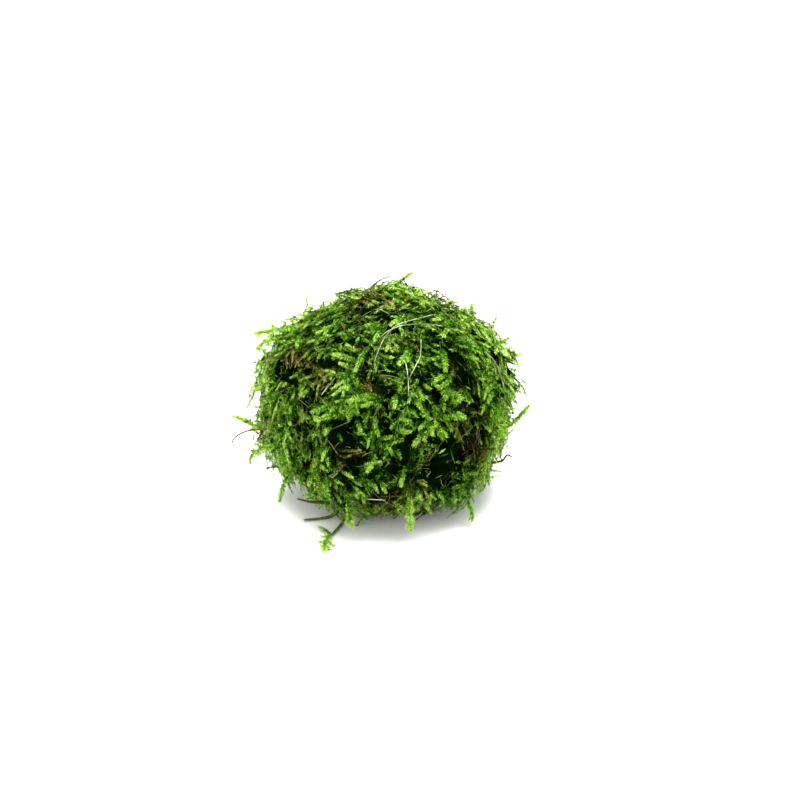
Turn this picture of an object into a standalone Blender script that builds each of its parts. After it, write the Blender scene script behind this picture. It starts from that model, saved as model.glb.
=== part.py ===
"""Christmas moss ball: strands of moss pressed into a ball and bound with thread, with shoots that grow out.

Metres, +Z up. The origin is the middle of the flat spot that the ball rests on, and the front faces -Y.
"""
import math
from dataclasses import dataclass
from random import Random

import bmesh
import bpy
from mathutils import Vector, noise
from mathutils.bvhtree import BVHTree
from mathutils.kdtree import KDTree

MM = 0.001
OBJECT_NAME = "christmas_moss_ball"

# Ball: a squashed round body whose underside is pressed flat by its own weight
BALL_RADIUS = 0.0283
HALF_HEIGHT = 0.0248
CENTRE_HEIGHT = 0.0240
FULLNESS_BELOW = 2.6
FULLNESS_ABOVE = 2.25
BALL_DIVISIONS = 5
CENTRE = Vector((0.0, 0.0, CENTRE_HEIGHT))

# Swellings fade out over the underside, between these two heights of a unit vector from the ball's middle
LEVEL_UNDERSIDE = -0.86
UNDERSIDE_FADE = 0.25

# Tufts and knots of the moss mass: from lowest to highest in metres, over a patch this wide
TUFT_HEIGHT = 0.0026
TUFT_WIDTH = 0.011
TUFT_SHIFT = Vector((3.1, 0.0, 7.7))
KNOT_HEIGHT = 0.0014
KNOT_WIDTH = 0.005
KNOT_SHIFT = Vector((0.0, 5.3, 1.9))

# Fronds that stand out of the mass, each a tapering finger of two lengths
FROND_COUNT = 420
FROND_LENGTHS = (0.0019, 0.0016)
FROND_TAPER = (0.80, 0.50)
FROND_DROOP = (0.40, 1.00)
FROND_SIZES = (0.75, 1.25)
FROND_LEANS = (0.6, 1.15)
FROND_ASIDE = (0.1, 0.6)
FROND_LOWEST = 0.0060
FROND_TO_THREAD = 0.0031
TIP_TO_THREAD = 0.0021
FROND_TO_SHOOT = 0.0044

# Thread: fine line wound tightly round the ball in turns that cross, each pressing a groove in the moss
THREAD_DIAMETER = 0.0003
THREAD_SPACING = 0.0058
THREAD_BEND = math.radians(10.0)
CLOSEST_SPACING = 0.3
THREAD_GAP = 0.00035
GROOVE_DEPTH = 0.0010
GROOVE_FLOOR = 0.0026
GROOVE_BANK = 0.0014
THREAD_OVER_FLOOR = 0.0031
SAMPLES_PER_TURN = 180
QUARTER_TURN = SAMPLES_PER_TURN // 4
TURN_LEAST = math.radians(285.0)
JOIN_WITHIN_STEPS = 0.6
PARALLEL = 1e-6
CORNER_SMOOTHING = 17
STRAIGHTENING = 9
CLEAR_OF_REST_SPOT = 0.0082
TAUT_BELOW = -0.66
LAID_BELOW = -0.5
TIGHTENING = 200
CROSSING_SLOPE = 0.30
CROSSING_REACH = 0.0015

# Shoots: half the width of leafy shoots, from the fullest to the thinnest, and of bare stems
LEAFY = 0.00085
SLIM = LEAFY * 0.9
NARROW = LEAFY * 0.8
THIN = LEAFY * 0.7
BARE = 0.00032
FIRM = BARE * 1.2
WOODY = BARE * 1.3

# Shoots keep this gap to the moss and the thread, and swell from a slim foot to a narrow tip
TOUCH_GAP = 0.00035
ROOTED_SHARE = 0.7
BASE_WIDTH = 0.6
TIP_WIDTH = 0.35
SWELL_RATE = 1.2
SWELL_END = 0.8

# Smooth curves are read at this many places between two points, then thinned to a step
CURVE_READS = 8
SHOOT_STEP = 0.0014
FINE_STEP = SHOOT_STEP / 4.0
LAST_STEP_SHARE = 0.5

SEED = 11


@dataclass(frozen=True)
class Patch:
    """A broad swelling or hollow of the ball: where it is, how high and how wide."""

    azimuth: float
    elevation: float
    height_mm: float
    spread: float


@dataclass(frozen=True)
class Shoot:
    """A shoot or bare stem that leaves the ball, through hand-placed points in millimetres."""

    name: str
    half_width: float
    colour: str
    points_mm: tuple


# Angles in degrees: azimuth from the front (-Y) towards +X, elevation up from the ball's middle
PATCHES = (
    Patch(-95, 24, 1.7, 17),
    Patch(-80, 52, -2.2, 20),
    Patch(150, 66, 0.6, 22),
    Patch(92, 34, 2.0, 20),
    Patch(88, -18, -1.0, 14),
    Patch(78, -38, 0.9, 14),
    Patch(-90, -14, 1.6, 16),
    Patch(-70, -46, -1.5, 16),
    Patch(-25, -50, 0.9, 16),
    Patch(42, -48, 2.2, 20),
    Patch(-15, 10, -2.8, 9),
    Patch(27, -9, -2.8, 9),
    Patch(45, 32, -1.6, 8),
    Patch(25, -34, -1.6, 9),
    Patch(6, 32, 1.0, 13),
    Patch(-38, 22, 1.0, 12),
    Patch(6, -14, 1.2, 11),
    Patch(200, 20, 1.2, 20),
    Patch(160, -22, -1.4, 18),
)

# Each turn of the thread lies in a plane through the ball's middle, given by the plane's normal
THREAD_TURNS = ((-79, 4), (-92, 24), (-130, 22), (-153, 25), (132, 7), (-16, -2), (178, -57))

GREEN = "moss_green"
BROWN = "stem_brown"

SHOOTS = (
    Shoot("upper_left_shoot", LEAFY, GREEN,
          ((-19.7, 3.1, 40.8), (-22.9, 5.2, 40.7), (-27.0, 6.6, 39.0), (-30.8, 7.3, 38.1))),
    Shoot("upper_left_side_shoot", NARROW, GREEN,
          ((-21.5, 1.4, 39.2), (-25.0, 1.2, 39.7), (-28.0, 1.6, 38.4), (-29.9, 2.3, 36.2))),
    Shoot("left_shoot", SLIM, GREEN,
          ((-27.7, -5.0, 19.1), (-31.4, -3.2, 19.5), (-33.3, -2.1, 20.3), (-35.9, -1.9, 20.8))),
    Shoot("left_hooked_stem", BARE, BROWN,
          ((-27.5, -8.2, 20.6), (-31.2, -7.4, 20.0), (-33.9, -7.2, 18.8), (-35.4, -7.5, 17.4),
           (-35.1, -8.0, 16.0))),
    Shoot("low_left_shoot", SLIM, GREEN,
          ((-26.5, -9.8, 16.9), (-29.6, -8.9, 15.6), (-31.2, -8.6, 13.9), (-31.0, -9.2, 11.9))),
    Shoot("bottom_left_shoot", LEAFY, GREEN,
          ((-21.3, -16.1, 14.0), (-22.8, -16.9, 11.9), (-23.6, -17.6, 9.4), (-24.2, -18.3, 6.9))),
    Shoot("bottom_left_stem", BARE, BROWN,
          ((-14.0, -19.5, 7.4), (-16.4, -20.3, 7.9), (-18.2, -20.2, 8.2), (-20.0, -19.4, 8.3))),
    Shoot("floor_stem", WOODY, BROWN,
          ((-10.9, -12.9, 2.0), (-12.6, -13.8, 0.8), (-15.3, -14.4, 0.5), (-18.8, -15.0, 0.5))),
    Shoot("trailing_stem", FIRM, BROWN,
          ((-8.6, -12.9, 2.4), (-9.3, -15.2, 1.1), (-10.4, -18.1, 0.5), (-12.3, -22.7, 0.5))),
    Shoot("trailing_left_shoot", SLIM, GREEN,
          ((-12.9, -22.0, 0.9), (-13.7, -20.9, 0.95), (-15.4, -19.5, 0.95))),
    Shoot("trailing_front_shoot", LEAFY, GREEN,
          ((-12.8, -23.9, 1.0), (-13.4, -26.4, 1.0), (-13.7, -30.7, 1.0))),
    Shoot("front_left_drooping_shoot", LEAFY, GREEN,
          ((-8.4, -22.6, 9.6), (-8.3, -25.0, 8.4), (-7.9, -26.0, 6.6), (-7.4, -25.6, 4.2))),
    Shoot("front_right_drooping_shoot", LEAFY, GREEN,
          ((5.8, -25.6, 12.4), (5.8, -27.6, 9.6), (5.9, -27.8, 6.8), (6.1, -27.0, 4.2))),
    Shoot("lower_right_drooping_shoot", NARROW, GREEN,
          ((18.3, -15.6, 7.4), (19.7, -17.0, 5.4), (20.2, -17.6, 3.4), (20.0, -17.0, 1.3))),
    Shoot("right_hooked_stem", BARE, BROWN,
          ((23.8, -9.2, 12.1), (26.3, -8.3, 12.2), (27.6, -7.0, 12.0), (28.6, -5.7, 12.7),
           (29.8, -5.9, 12.3))),
    Shoot("right_shoot", SLIM, GREEN,
          ((27.5, -5.7, 19.2), (30.2, -3.6, 20.3), (32.1, -1.9, 21.6), (33.8, -0.9, 23.3))),
    Shoot("upper_right_shoot", SLIM, GREEN,
          ((23.4, 3.2, 35.0), (26.6, 4.9, 36.3), (29.1, 6.2, 37.6))),
    Shoot("upper_right_side_shoot", NARROW, GREEN,
          ((25.2, 1.2, 33.2), (28.3, 2.4, 34.0), (31.9, 3.6, 34.5))),
    Shoot("top_right_shoot", THIN, GREEN,
          ((18.8, 3.4, 38.6), (20.2, 6.4, 41.8), (20.2, 9.3, 44.8))),
    Shoot("crown_shoot", THIN, GREEN,
          ((1.2, 9.9, 46.6), (3.5, 13.0, 48.9), (6.8, 15.3, 50.5))),
    Shoot("crown_stem", BARE, BROWN,
          ((-4.6, 9.0, 47.3), (-1.8, 11.9, 49.3), (1.3, 13.8, 50.1))),
    Shoot("back_left_shoot", SLIM, GREEN,
          ((-12.4, 22.4, 32.6), (-14.8, 27.4, 34.6), (-16.2, 31.4, 35.2))),
    Shoot("back_right_shoot", SLIM, GREEN,
          ((15.0, 22.8, 18.2), (17.6, 27.6, 16.4), (19.2, 30.6, 13.2))),
    Shoot("back_trailing_shoot", LEAFY, GREEN,
          ((8.2, 15.0, 2.4), (10.2, 19.6, 1.1), (12.2, 25.4, 1.0), (12.8, 30.6, 1.0))),
)

MATERIAL_LOOKS = {
    GREEN: ((0.055, 0.115, 0.014, 1.0), 0.75),
    BROWN: ((0.065, 0.038, 0.014, 1.0), 0.70),
    "pale_thread": ((0.55, 0.56, 0.47, 1.0), 0.40),
}


def direction(azimuth, elevation):
    """Unit vector for an azimuth and an elevation in degrees."""
    across, up = math.radians(azimuth), math.radians(elevation)
    return Vector((math.sin(across) * math.cos(up), -math.cos(across) * math.cos(up), math.sin(up)))


def smooth_step(value):
    """0 to 1 with a soft start and end."""
    value = min(1.0, max(0.0, value))
    return value * value * (3.0 - 2.0 * value)


def ball_distance(way):
    """How far the moss reaches from the ball's middle along a unit vector."""
    fullness = FULLNESS_ABOVE if way.z > 0.0 else FULLNESS_BELOW
    level = math.hypot(way.x, way.y) / BALL_RADIUS
    upright = abs(way.z) / HALF_HEIGHT
    reach = (level ** fullness + upright ** fullness) ** (-1.0 / fullness)
    off_floor = smooth_step((way.z - LEVEL_UNDERSIDE) / UNDERSIDE_FADE)
    for patch in PATCHES:
        angle = math.degrees(way.angle(direction(patch.azimuth, patch.elevation)))
        reach += off_floor * patch.height_mm * MM * math.exp(-((angle / patch.spread) ** 2))
    point = way * BALL_RADIUS
    tufts = noise.noise(point / TUFT_WIDTH + TUFT_SHIFT) * TUFT_HEIGHT
    knots = noise.noise(point / KNOT_WIDTH + KNOT_SHIFT) * KNOT_HEIGHT
    return reach + off_floor * (tufts + knots)


def turn_directions():
    """Unit vectors along the whole thread: great circles joined where they cross, with soft corners."""
    normals = [direction(azimuth, elevation) for azimuth, elevation in THREAD_TURNS]
    step = 2.0 * math.pi / SAMPLES_PER_TURN
    at_crossing = math.cos(step * JOIN_WITHIN_STEPS)
    way = normals[0].cross(normals[1]).normalized()
    path = []
    for index, normal in enumerate(normals):
        following = normals[min(index + 1, len(normals) - 1)]
        side = normal.cross(way).normalized()
        leave = normal.cross(following)
        turned = 0.0
        while turned < TURN_LEAST + 2.0 * math.pi:
            path.append(way * math.cos(turned) + side * math.sin(turned))
            turned += step
            if turned < TURN_LEAST:
                continue
            ahead = way * math.cos(turned) + side * math.sin(turned)
            if leave.length < PARALLEL or abs(ahead.dot(leave.normalized())) > at_crossing:
                break
        way = (way * math.cos(turned) + side * math.sin(turned)).normalized()
        way = (way - following * way.dot(following)).normalized()
    half = CORNER_SMOOTHING
    soft = []
    for index in range(len(path)):
        window = path[max(0, index - half):index + half + 1]
        soft.append(sum(window, Vector()).normalized())
    return taut_round_rest_spot(soft)


def taut_round_rest_spot(path):
    """Draws the thread tight under the ball, round the middle of the underside on which the ball stands."""
    for _ in range(TIGHTENING):
        for index in range(1, len(path) - 1):
            if path[index].z > TAUT_BELOW:
                continue
            way = (path[index - 1] + path[index] + path[index + 1]).normalized()
            level = math.hypot(way.x, way.y)
            least = -way.z * CLEAR_OF_REST_SPOT / CENTRE_HEIGHT
            if level < least:
                way = Vector((way.x * least / level, way.y * least / level, way.z)).normalized()
            path[index] = way
    return path


def closest_angle(way, path):
    """The smallest angle between a unit vector and a set of others."""
    return math.acos(max(-1.0, min(1.0, max(way.dot(other) for other in path))))


def groove_floor(path):
    """How far from the ball's middle the groove's floor lies at each step of the thread, pulled taut."""
    reach = [ball_distance(way) for way in path]
    floor = []
    for index, way in enumerate(path):
        window = reach[max(0, index - STRAIGHTENING):index + STRAIGHTENING + 1]
        level = sum(window) / len(window) - GROOVE_DEPTH
        if way.z < LAID_BELOW:
            level = min(level, (CENTRE_HEIGHT - THREAD_OVER_FLOOR) / -way.z)
        floor.append(level)
    return floor


def press_grooves(bm, path, floor):
    """Presses the moss in along the thread, flat where the thread lies and sloping up to each side."""
    for vert in bm.verts:
        arm = vert.co - CENTRE
        way = arm.normalized()
        reach = arm.length
        for other, level in zip(path, floor):
            across = (way - other).length * BALL_RADIUS
            if across < GROOVE_FLOOR + GROOVE_BANK and level < reach:
                share = smooth_step(1.0 - (across - GROOVE_FLOOR) / GROOVE_BANK)
                reach += (level - reach) * share
        vert.co = CENTRE + way * reach


def even_directions(count):
    """Unit vectors spread evenly round the ball along a spiral."""
    golden = math.pi * (3.0 - math.sqrt(5.0))
    for index in range(count):
        height = 1.0 - 2.0 * (index + 0.5) / count
        level = math.sqrt(1.0 - height * height)
        yield Vector((math.cos(index * golden) * level, math.sin(index * golden) * level, height))


def grow_fronds(bm, path, shoot_ways):
    """Draws pairs of faces out into drooping fingers, clear of the thread and of the loose shoots."""
    rng = Random(SEED)
    bm.faces.ensure_lookup_table()
    tree = BVHTree.FromBMesh(bm)
    chosen = []
    taken = set()
    for way in even_directions(FROND_COUNT):
        root, _, index, _ = tree.ray_cast(CENTRE, way)
        if root is None or root.z < FROND_LOWEST or closest_angle(way, path) * BALL_RADIUS < FROND_TO_THREAD:
            continue
        if closest_angle(way, shoot_ways) * BALL_RADIUS < FROND_TO_SHOOT:
            continue
        face = bm.faces[index]
        pair = list(rng.choice(face.edges[:]).link_faces)
        around = {near.index for one in pair for vert in one.verts for near in vert.link_faces}
        if around & taken:
            continue
        taken |= around
        chosen.append(pair)
    for pair in chosen:
        grow_frond(bm, pair, path, rng)


def droop_clear_of_thread(middle, outward, size, path, rng):
    """The way that a finger hangs: down and aside, or straight out where that would cross the thread."""
    down = (Vector((0.0, 0.0, -1.0)) + outward * outward.z).normalized()
    aside = outward.cross(down) * rng.uniform(*FROND_ASIDE) * rng.choice((-1.0, 1.0))
    amount = rng.uniform(*FROND_LEANS)
    for lean in ((down + aside) * amount, (down - aside) * amount, aside * amount, -aside * amount):
        tip = middle
        for length, droop in zip(FROND_LENGTHS, FROND_DROOP):
            tip = tip + (outward + lean * droop).normalized() * length * size
        if closest_angle((tip - CENTRE).normalized(), path) * BALL_RADIUS > TIP_TO_THREAD:
            return lean
    return Vector()


def grow_frond(bm, faces, path, rng):
    """One finger: the faces are drawn out twice, leaning further down and narrowing each time."""
    middle = sum((face.calc_center_median() for face in faces), Vector()) / len(faces)
    outward = (middle - CENTRE).normalized()
    size = rng.uniform(*FROND_SIZES)
    lean = droop_clear_of_thread(middle, outward, size, path, rng)
    for length, taper, droop in zip(FROND_LENGTHS, FROND_TAPER, FROND_DROOP):
        drawn = bmesh.ops.extrude_face_region(bm, geom=faces)["geom"]
        bmesh.ops.delete(bm, geom=faces, context="FACES_ONLY")
        faces = [one for one in drawn if isinstance(one, bmesh.types.BMFace)]
        verts = [one for one in drawn if isinstance(one, bmesh.types.BMVert)]
        bmesh.ops.translate(bm, vec=(outward + lean * droop).normalized() * length * size, verts=verts)
        middle = sum((vert.co for vert in verts), Vector()) / len(verts)
        for vert in verts:
            vert.co = middle + (vert.co - middle) * taper


def flatten_underside(bm):
    """Cuts the ball off at the surface that it stands on and closes the cut."""
    everything = bm.verts[:] + bm.edges[:] + bm.faces[:]
    bmesh.ops.bisect_plane(bm, geom=everything, plane_co=(0, 0, 0), plane_no=(0, 0, 1), clear_inner=True)
    rims = [edge for edge in bm.edges if edge.is_boundary]
    bmesh.ops.holes_fill(bm, edges=rims, sides=0)
    bmesh.ops.recalc_face_normals(bm, faces=bm.faces[:])


def make_ball(path, floor):
    """The moss mass as one closed body, with the tree that the thread and shoots are fitted to."""
    bm = bmesh.new()
    bmesh.ops.create_icosphere(bm, subdivisions=BALL_DIVISIONS, radius=1.0)
    for vert in bm.verts:
        way = vert.co.normalized()
        vert.co = CENTRE + way * ball_distance(way)
    press_grooves(bm, path, floor)
    roots = [point for shoot in SHOOTS for point in shoot.points_mm[:2]]
    shoot_ways = [(Vector(point) * MM - CENTRE).normalized() for point in roots]
    grow_fronds(bm, path, shoot_ways)
    flatten_underside(bm)
    bmesh.ops.triangulate(bm, faces=bm.faces[:])
    mesh = bpy.data.meshes.new("moss_ball")
    bm.to_mesh(mesh)
    tree = BVHTree.FromBMesh(bm)
    bm.free()
    return bpy.data.objects.new("moss_ball", mesh), tree


def thread_route(path, floor):
    """The thread's route: just above its groove, with later turns in a low hump over earlier ones."""
    reach = [level + THREAD_DIAMETER / 2.0 + THREAD_GAP for level in floor]
    over = THREAD_DIAMETER + THREAD_GAP
    for index in range(QUARTER_TURN, len(path)):
        for other in range(index - QUARTER_TURN):
            if (path[index] - path[other]).length * BALL_RADIUS < CROSSING_REACH:
                reach[index] = max(reach[index], reach[other] + over)
    fall = CROSSING_SLOPE * BALL_RADIUS * 2.0 * math.pi / SAMPLES_PER_TURN
    for index in range(1, len(reach)):
        reach[index] = max(reach[index], reach[index - 1] - fall)
    for index in range(len(reach) - 2, -1, -1):
        reach[index] = max(reach[index], reach[index + 1] - fall)
    return [CENTRE + way * distance for way, distance in zip(path, reach)]


def thinned(route):
    """The route's points a spacing apart, and closer where it bends."""
    kept = [route[0]]
    for before, point, after in zip(route, route[1:], route[2:]):
        run = point - kept[-1]
        if run.length <= THREAD_SPACING * CLOSEST_SPACING:
            continue
        if run.length > THREAD_SPACING or run.angle(after - before, 0.0) > THREAD_BEND:
            kept.append(point)
    return kept + [route[-1]]


def make_tube(name, points, half_width, widths=None, resolution=1):
    """A round tube through points, with closed ends."""
    curve = bpy.data.curves.new(name, "CURVE")
    curve.dimensions = "3D"
    curve.bevel_depth = half_width
    curve.bevel_resolution = resolution
    curve.use_fill_caps = True
    spline = curve.splines.new("POLY")
    spline.points.add(len(points) - 1)
    for index, (knot, point) in enumerate(zip(spline.points, points)):
        knot.co = (*point, 1.0)
        knot.radius = widths[index] if widths else 1.0
    return bpy.data.objects.new(name, curve)


def through(points, step):
    """Points a step apart on a smooth curve through the given points."""
    ends = [points[0] * 2.0 - points[1]] + points + [points[-1] * 2.0 - points[-2]]
    dense = []
    for first, second, third, fourth in zip(ends, ends[1:], ends[2:], ends[3:]):
        for part in range(CURVE_READS):
            t = part / CURVE_READS
            dense.append(0.5 * (second * 2.0 + (third - first) * t
                                + (first * 2.0 - second * 5.0 + third * 4.0 - fourth) * t * t
                                + (second * 3.0 - first - third * 3.0 + fourth) * t * t * t))
    dense.append(points[-1])
    kept = [dense[0]]
    for point in dense[1:-1]:
        if (point - kept[-1]).length >= step and (point - points[-1]).length >= step * LAST_STEP_SHARE:
            kept.append(point)
    return kept + [points[-1]]


def make_shoot(shoot, tree, thread):
    """A tapering shoot that starts just clear of the moss and the thread and ends in a narrow tip."""
    points = through([Vector(point) * MM for point in shoot.points_mm], FINE_STEP)
    clear = shoot.half_width * BASE_WIDTH + TOUCH_GAP
    rooted = points[:round(len(points) * ROOTED_SHARE)]
    buried = [index for index, point in enumerate(rooted)
              if is_inside(point, tree) or tree.find_nearest(point)[3] < clear
              or thread.find(point)[2] < clear + THREAD_DIAMETER]
    points = through(points[buried[-1] + 1 if buried else 0:], SHOOT_STEP)
    last = len(points) - 1
    widths = [BASE_WIDTH + (1.0 - BASE_WIDTH) * math.sin(math.pi * min(SWELL_END, SWELL_RATE * index / last))
              for index in range(last + 1)]
    widths[-1] = TIP_WIDTH
    return make_tube(shoot.name, points, shoot.half_width, widths)


def is_inside(point, tree):
    """True where the ball's surface lies further out than the point."""
    arm = point - CENTRE
    hit = tree.ray_cast(CENTRE, arm.normalized())[3]
    return hit is not None and hit > arm.length


def make_material(name):
    """A Principled material in the plain colour of its piece."""
    colour, roughness = MATERIAL_LOOKS[name]
    material = bpy.data.materials.new(name)
    material.use_nodes = True
    shader = material.node_tree.nodes["Principled BSDF"]
    shader.inputs["Base Color"].default_value = colour
    shader.inputs["Roughness"].default_value = roughness
    shader.inputs["Metallic"].default_value = 0.0
    material.diffuse_color = colour
    return material


def main():
    """Builds the ball, its thread and the loose shoots in one collection."""
    for old in list(bpy.data.objects):
        bpy.data.objects.remove(old, do_unlink=True)
    collection = bpy.data.collections.new(OBJECT_NAME)
    bpy.context.scene.collection.children.link(collection)
    path = turn_directions()
    floor = groove_floor(path)
    ball, tree = make_ball(path, floor)
    route = thread_route(path, floor)
    thread = make_tube("binding_thread", thinned(route), THREAD_DIAMETER / 2.0, resolution=0)
    near_thread = KDTree(len(route))
    for index, point in enumerate(route):
        near_thread.insert(point, index)
    near_thread.balance()
    pieces = [(ball, GREEN), (thread, "pale_thread")]
    pieces += [(make_shoot(shoot, tree, near_thread), shoot.colour) for shoot in SHOOTS]
    for piece, look in pieces:
        piece.data.materials.append(make_material(look))
        collection.objects.link(piece)


main()
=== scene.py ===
"""The christmas moss ball dressed: leafy fronds, old strands, fibres, binding thread and the loose shoots.

Metres, +Z up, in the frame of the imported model. The front of the ball faces -Y.
"""
from __future__ import annotations

import logging
import math
from collections.abc import Iterator
from dataclasses import dataclass, field, replace
from enum import Enum
from random import Random

import bmesh
import bpy
import numpy as np
from bpy.types import Material, Mesh, Node, NodeSocket, NodeTree, Object
from mathutils import Matrix, Vector, noise
from mathutils.bvhtree import BVHTree
from mathutils.kdtree import KDTree

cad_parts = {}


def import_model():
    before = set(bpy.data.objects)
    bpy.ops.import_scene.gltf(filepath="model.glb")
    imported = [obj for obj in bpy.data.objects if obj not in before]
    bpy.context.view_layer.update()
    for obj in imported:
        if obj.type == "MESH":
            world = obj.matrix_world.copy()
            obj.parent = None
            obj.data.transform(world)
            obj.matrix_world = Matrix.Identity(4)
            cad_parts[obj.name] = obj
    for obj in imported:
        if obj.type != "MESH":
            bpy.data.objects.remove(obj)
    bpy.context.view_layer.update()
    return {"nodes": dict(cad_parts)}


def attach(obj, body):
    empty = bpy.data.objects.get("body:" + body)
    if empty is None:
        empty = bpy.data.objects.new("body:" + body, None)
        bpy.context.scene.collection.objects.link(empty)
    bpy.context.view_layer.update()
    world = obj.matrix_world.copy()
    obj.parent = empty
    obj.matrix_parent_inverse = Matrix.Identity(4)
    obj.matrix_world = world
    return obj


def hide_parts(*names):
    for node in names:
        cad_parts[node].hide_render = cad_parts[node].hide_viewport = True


LOG = logging.getLogger("moss_ball")
MM = 0.001
DOWN = Vector((0.0, 0.0, -1.0))
BODY = "root"
BAKE_MAP = "OFBake"

Span = tuple[float, float]
Pixel = tuple[float, float]
Run = tuple[float, ...]
Stops = tuple[tuple[float, str], ...]


class Slot(Enum):
    """Names of the material slots."""

    GREEN = "moss_green"
    BROWN = "stem_brown"
    THREAD = "pale_thread"


def linear(code: str) -> tuple[float, float, float, float]:
    """Turns an sRGB hex value into linear light.

    Args:
        code: Six hex digits after a hash sign.

    Returns:
        Red, green, blue and an alpha of one.
    """
    parts = [int(code[place:place + 2], 16) / 255.0 for place in (1, 3, 5)]
    light = [part / 12.92 if part <= 0.04045 else ((part + 0.055) / 1.055) ** 2.4 for part in parts]
    return (light[0], light[1], light[2], 1.0)


def add_node(tree: NodeTree, kind: str, inputs: dict | None = None, **settings: object) -> Node:
    """Adds a node with its settings, and sets or links its inputs.

    Args:
        tree: The material's node tree.
        kind: The node's type.
        inputs: For each input, by name or number, a value or the output that feeds it.
        settings: Values of the node's own properties.

    Returns:
        The node.
    """
    node = tree.nodes.new(kind)
    for name, value in settings.items():
        setattr(node, name, value)
    for key, value in (inputs or {}).items():
        if isinstance(value, NodeSocket):
            tree.links.new(value, node.inputs[key])
        else:
            node.inputs[key].default_value = value
    return node


def fill_ramp(ramp: Node, stops: Stops) -> None:
    """Gives a colour ramp its stops.

    Args:
        ramp: The ramp node.
        stops: Each stop's place from 0 to 1 and its hex colour.
    """
    elements = ramp.color_ramp.elements
    while len(elements) < len(stops):
        elements.new(0.5)
    for element, (place, code) in zip(elements, stops):
        element.position = place
        element.color = linear(code)


def blank_material(name: str) -> tuple[Material, NodeTree]:
    """Makes a material with no nodes.

    Args:
        name: The material's name.

    Returns:
        The material and its tree.
    """
    material = bpy.data.materials.new(name)
    material.use_nodes = True
    material.node_tree.nodes.clear()
    return material, material.node_tree


@dataclass(frozen=True)
class GrownFinish:
    """The finish of what has grown: its colour follows the tint and age that each leaf or stem carries."""

    name: str
    young: Stops
    old: Stops
    mottle_mm: float
    mottle_detail: float
    mottle: float
    roughness: float
    refraction: float
    gloss: float
    translucency: float = 0.0

    def build(self) -> Material:
        """Builds the material, with a fine mottle on its tint.

        Returns:
            The material.
        """
        material, tree = blank_material(self.name)
        tint = add_node(tree, "ShaderNodeAttribute", attribute_name="tint")
        age = add_node(tree, "ShaderNodeAttribute", attribute_name="age")
        place = add_node(tree, "ShaderNodeTexCoord")
        mottle = add_node(tree, "ShaderNodeTexNoise", {
            "Vector": place.outputs["Object"], "Scale": 1.0 / (self.mottle_mm * MM),
            "Detail": self.mottle_detail})
        shift = add_node(tree, "ShaderNodeMapRange", {
            "Value": mottle.outputs["Fac"], "To Min": -self.mottle, "To Max": self.mottle})
        shade = add_node(tree, "ShaderNodeMath", {0: tint.outputs["Fac"], 1: shift.outputs["Result"]},
                         operation="ADD")
        young = add_node(tree, "ShaderNodeValToRGB", {"Fac": shade.outputs[0]})
        old = add_node(tree, "ShaderNodeValToRGB", {"Fac": shade.outputs[0]})
        fill_ramp(young, self.young)
        fill_ramp(old, self.old)
        colour = add_node(tree, "ShaderNodeMix", {
            0: age.outputs["Fac"], 6: young.outputs["Color"], 7: old.outputs["Color"]}, data_type="RGBA")
        surface = add_node(tree, "ShaderNodeBsdfPrincipled", {
            "Base Color": colour.outputs[2], "Roughness": self.roughness, "IOR": self.refraction,
            "Specular IOR Level": self.gloss})
        if self.translucency:
            through = add_node(tree, "ShaderNodeBsdfTranslucent", {"Color": colour.outputs[2]})
            surface = add_node(tree, "ShaderNodeMixShader", {
                0: self.translucency, 1: surface.outputs[0], 2: through.outputs[0]})
        add_node(tree, "ShaderNodeOutputMaterial", {"Surface": surface.outputs[0]})
        return material


@dataclass(frozen=True)
class LeafFinish(GrownFinish):
    """Moss leaf: a layer of wet green cells, which glints a little and lets yellow green light through."""

    name: str = "moss_leaf"
    young: Stops = ((0.0, "#010a01"), (0.25, "#0a3603"), (0.5, "#3f7808"), (0.75, "#6ea616"),
                    (1.0, "#bcdc68"))
    old: Stops = ((0.0, "#080601"), (0.4, "#2f2309"), (0.75, "#6a5720"), (1.0, "#a89a5c"))
    mottle_mm: float = 0.24
    mottle_detail: float = 2.0
    mottle: float = 0.36
    roughness: float = 0.5
    refraction: float = 1.45
    gloss: float = 0.02
    translucency: float = 0.3


@dataclass(frozen=True)
class StemFinish(GrownFinish):
    """Moss stem: a wiry stalk, olive where it is young and red brown where it is old, with a dull skin."""

    name: str = "moss_stem"
    young: Stops = ((0.0, "#071002"), (0.5, "#2f4410"), (1.0, "#8a9556"))
    old: Stops = ((0.0, "#0a0603"), (0.5, "#33240f"), (1.0, "#8f8560"))
    mottle_mm: float = 0.6
    mottle_detail: float = 3.0
    mottle: float = 0.25
    roughness: float = 0.58
    refraction: float = 1.5
    gloss: float = 0.1


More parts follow.
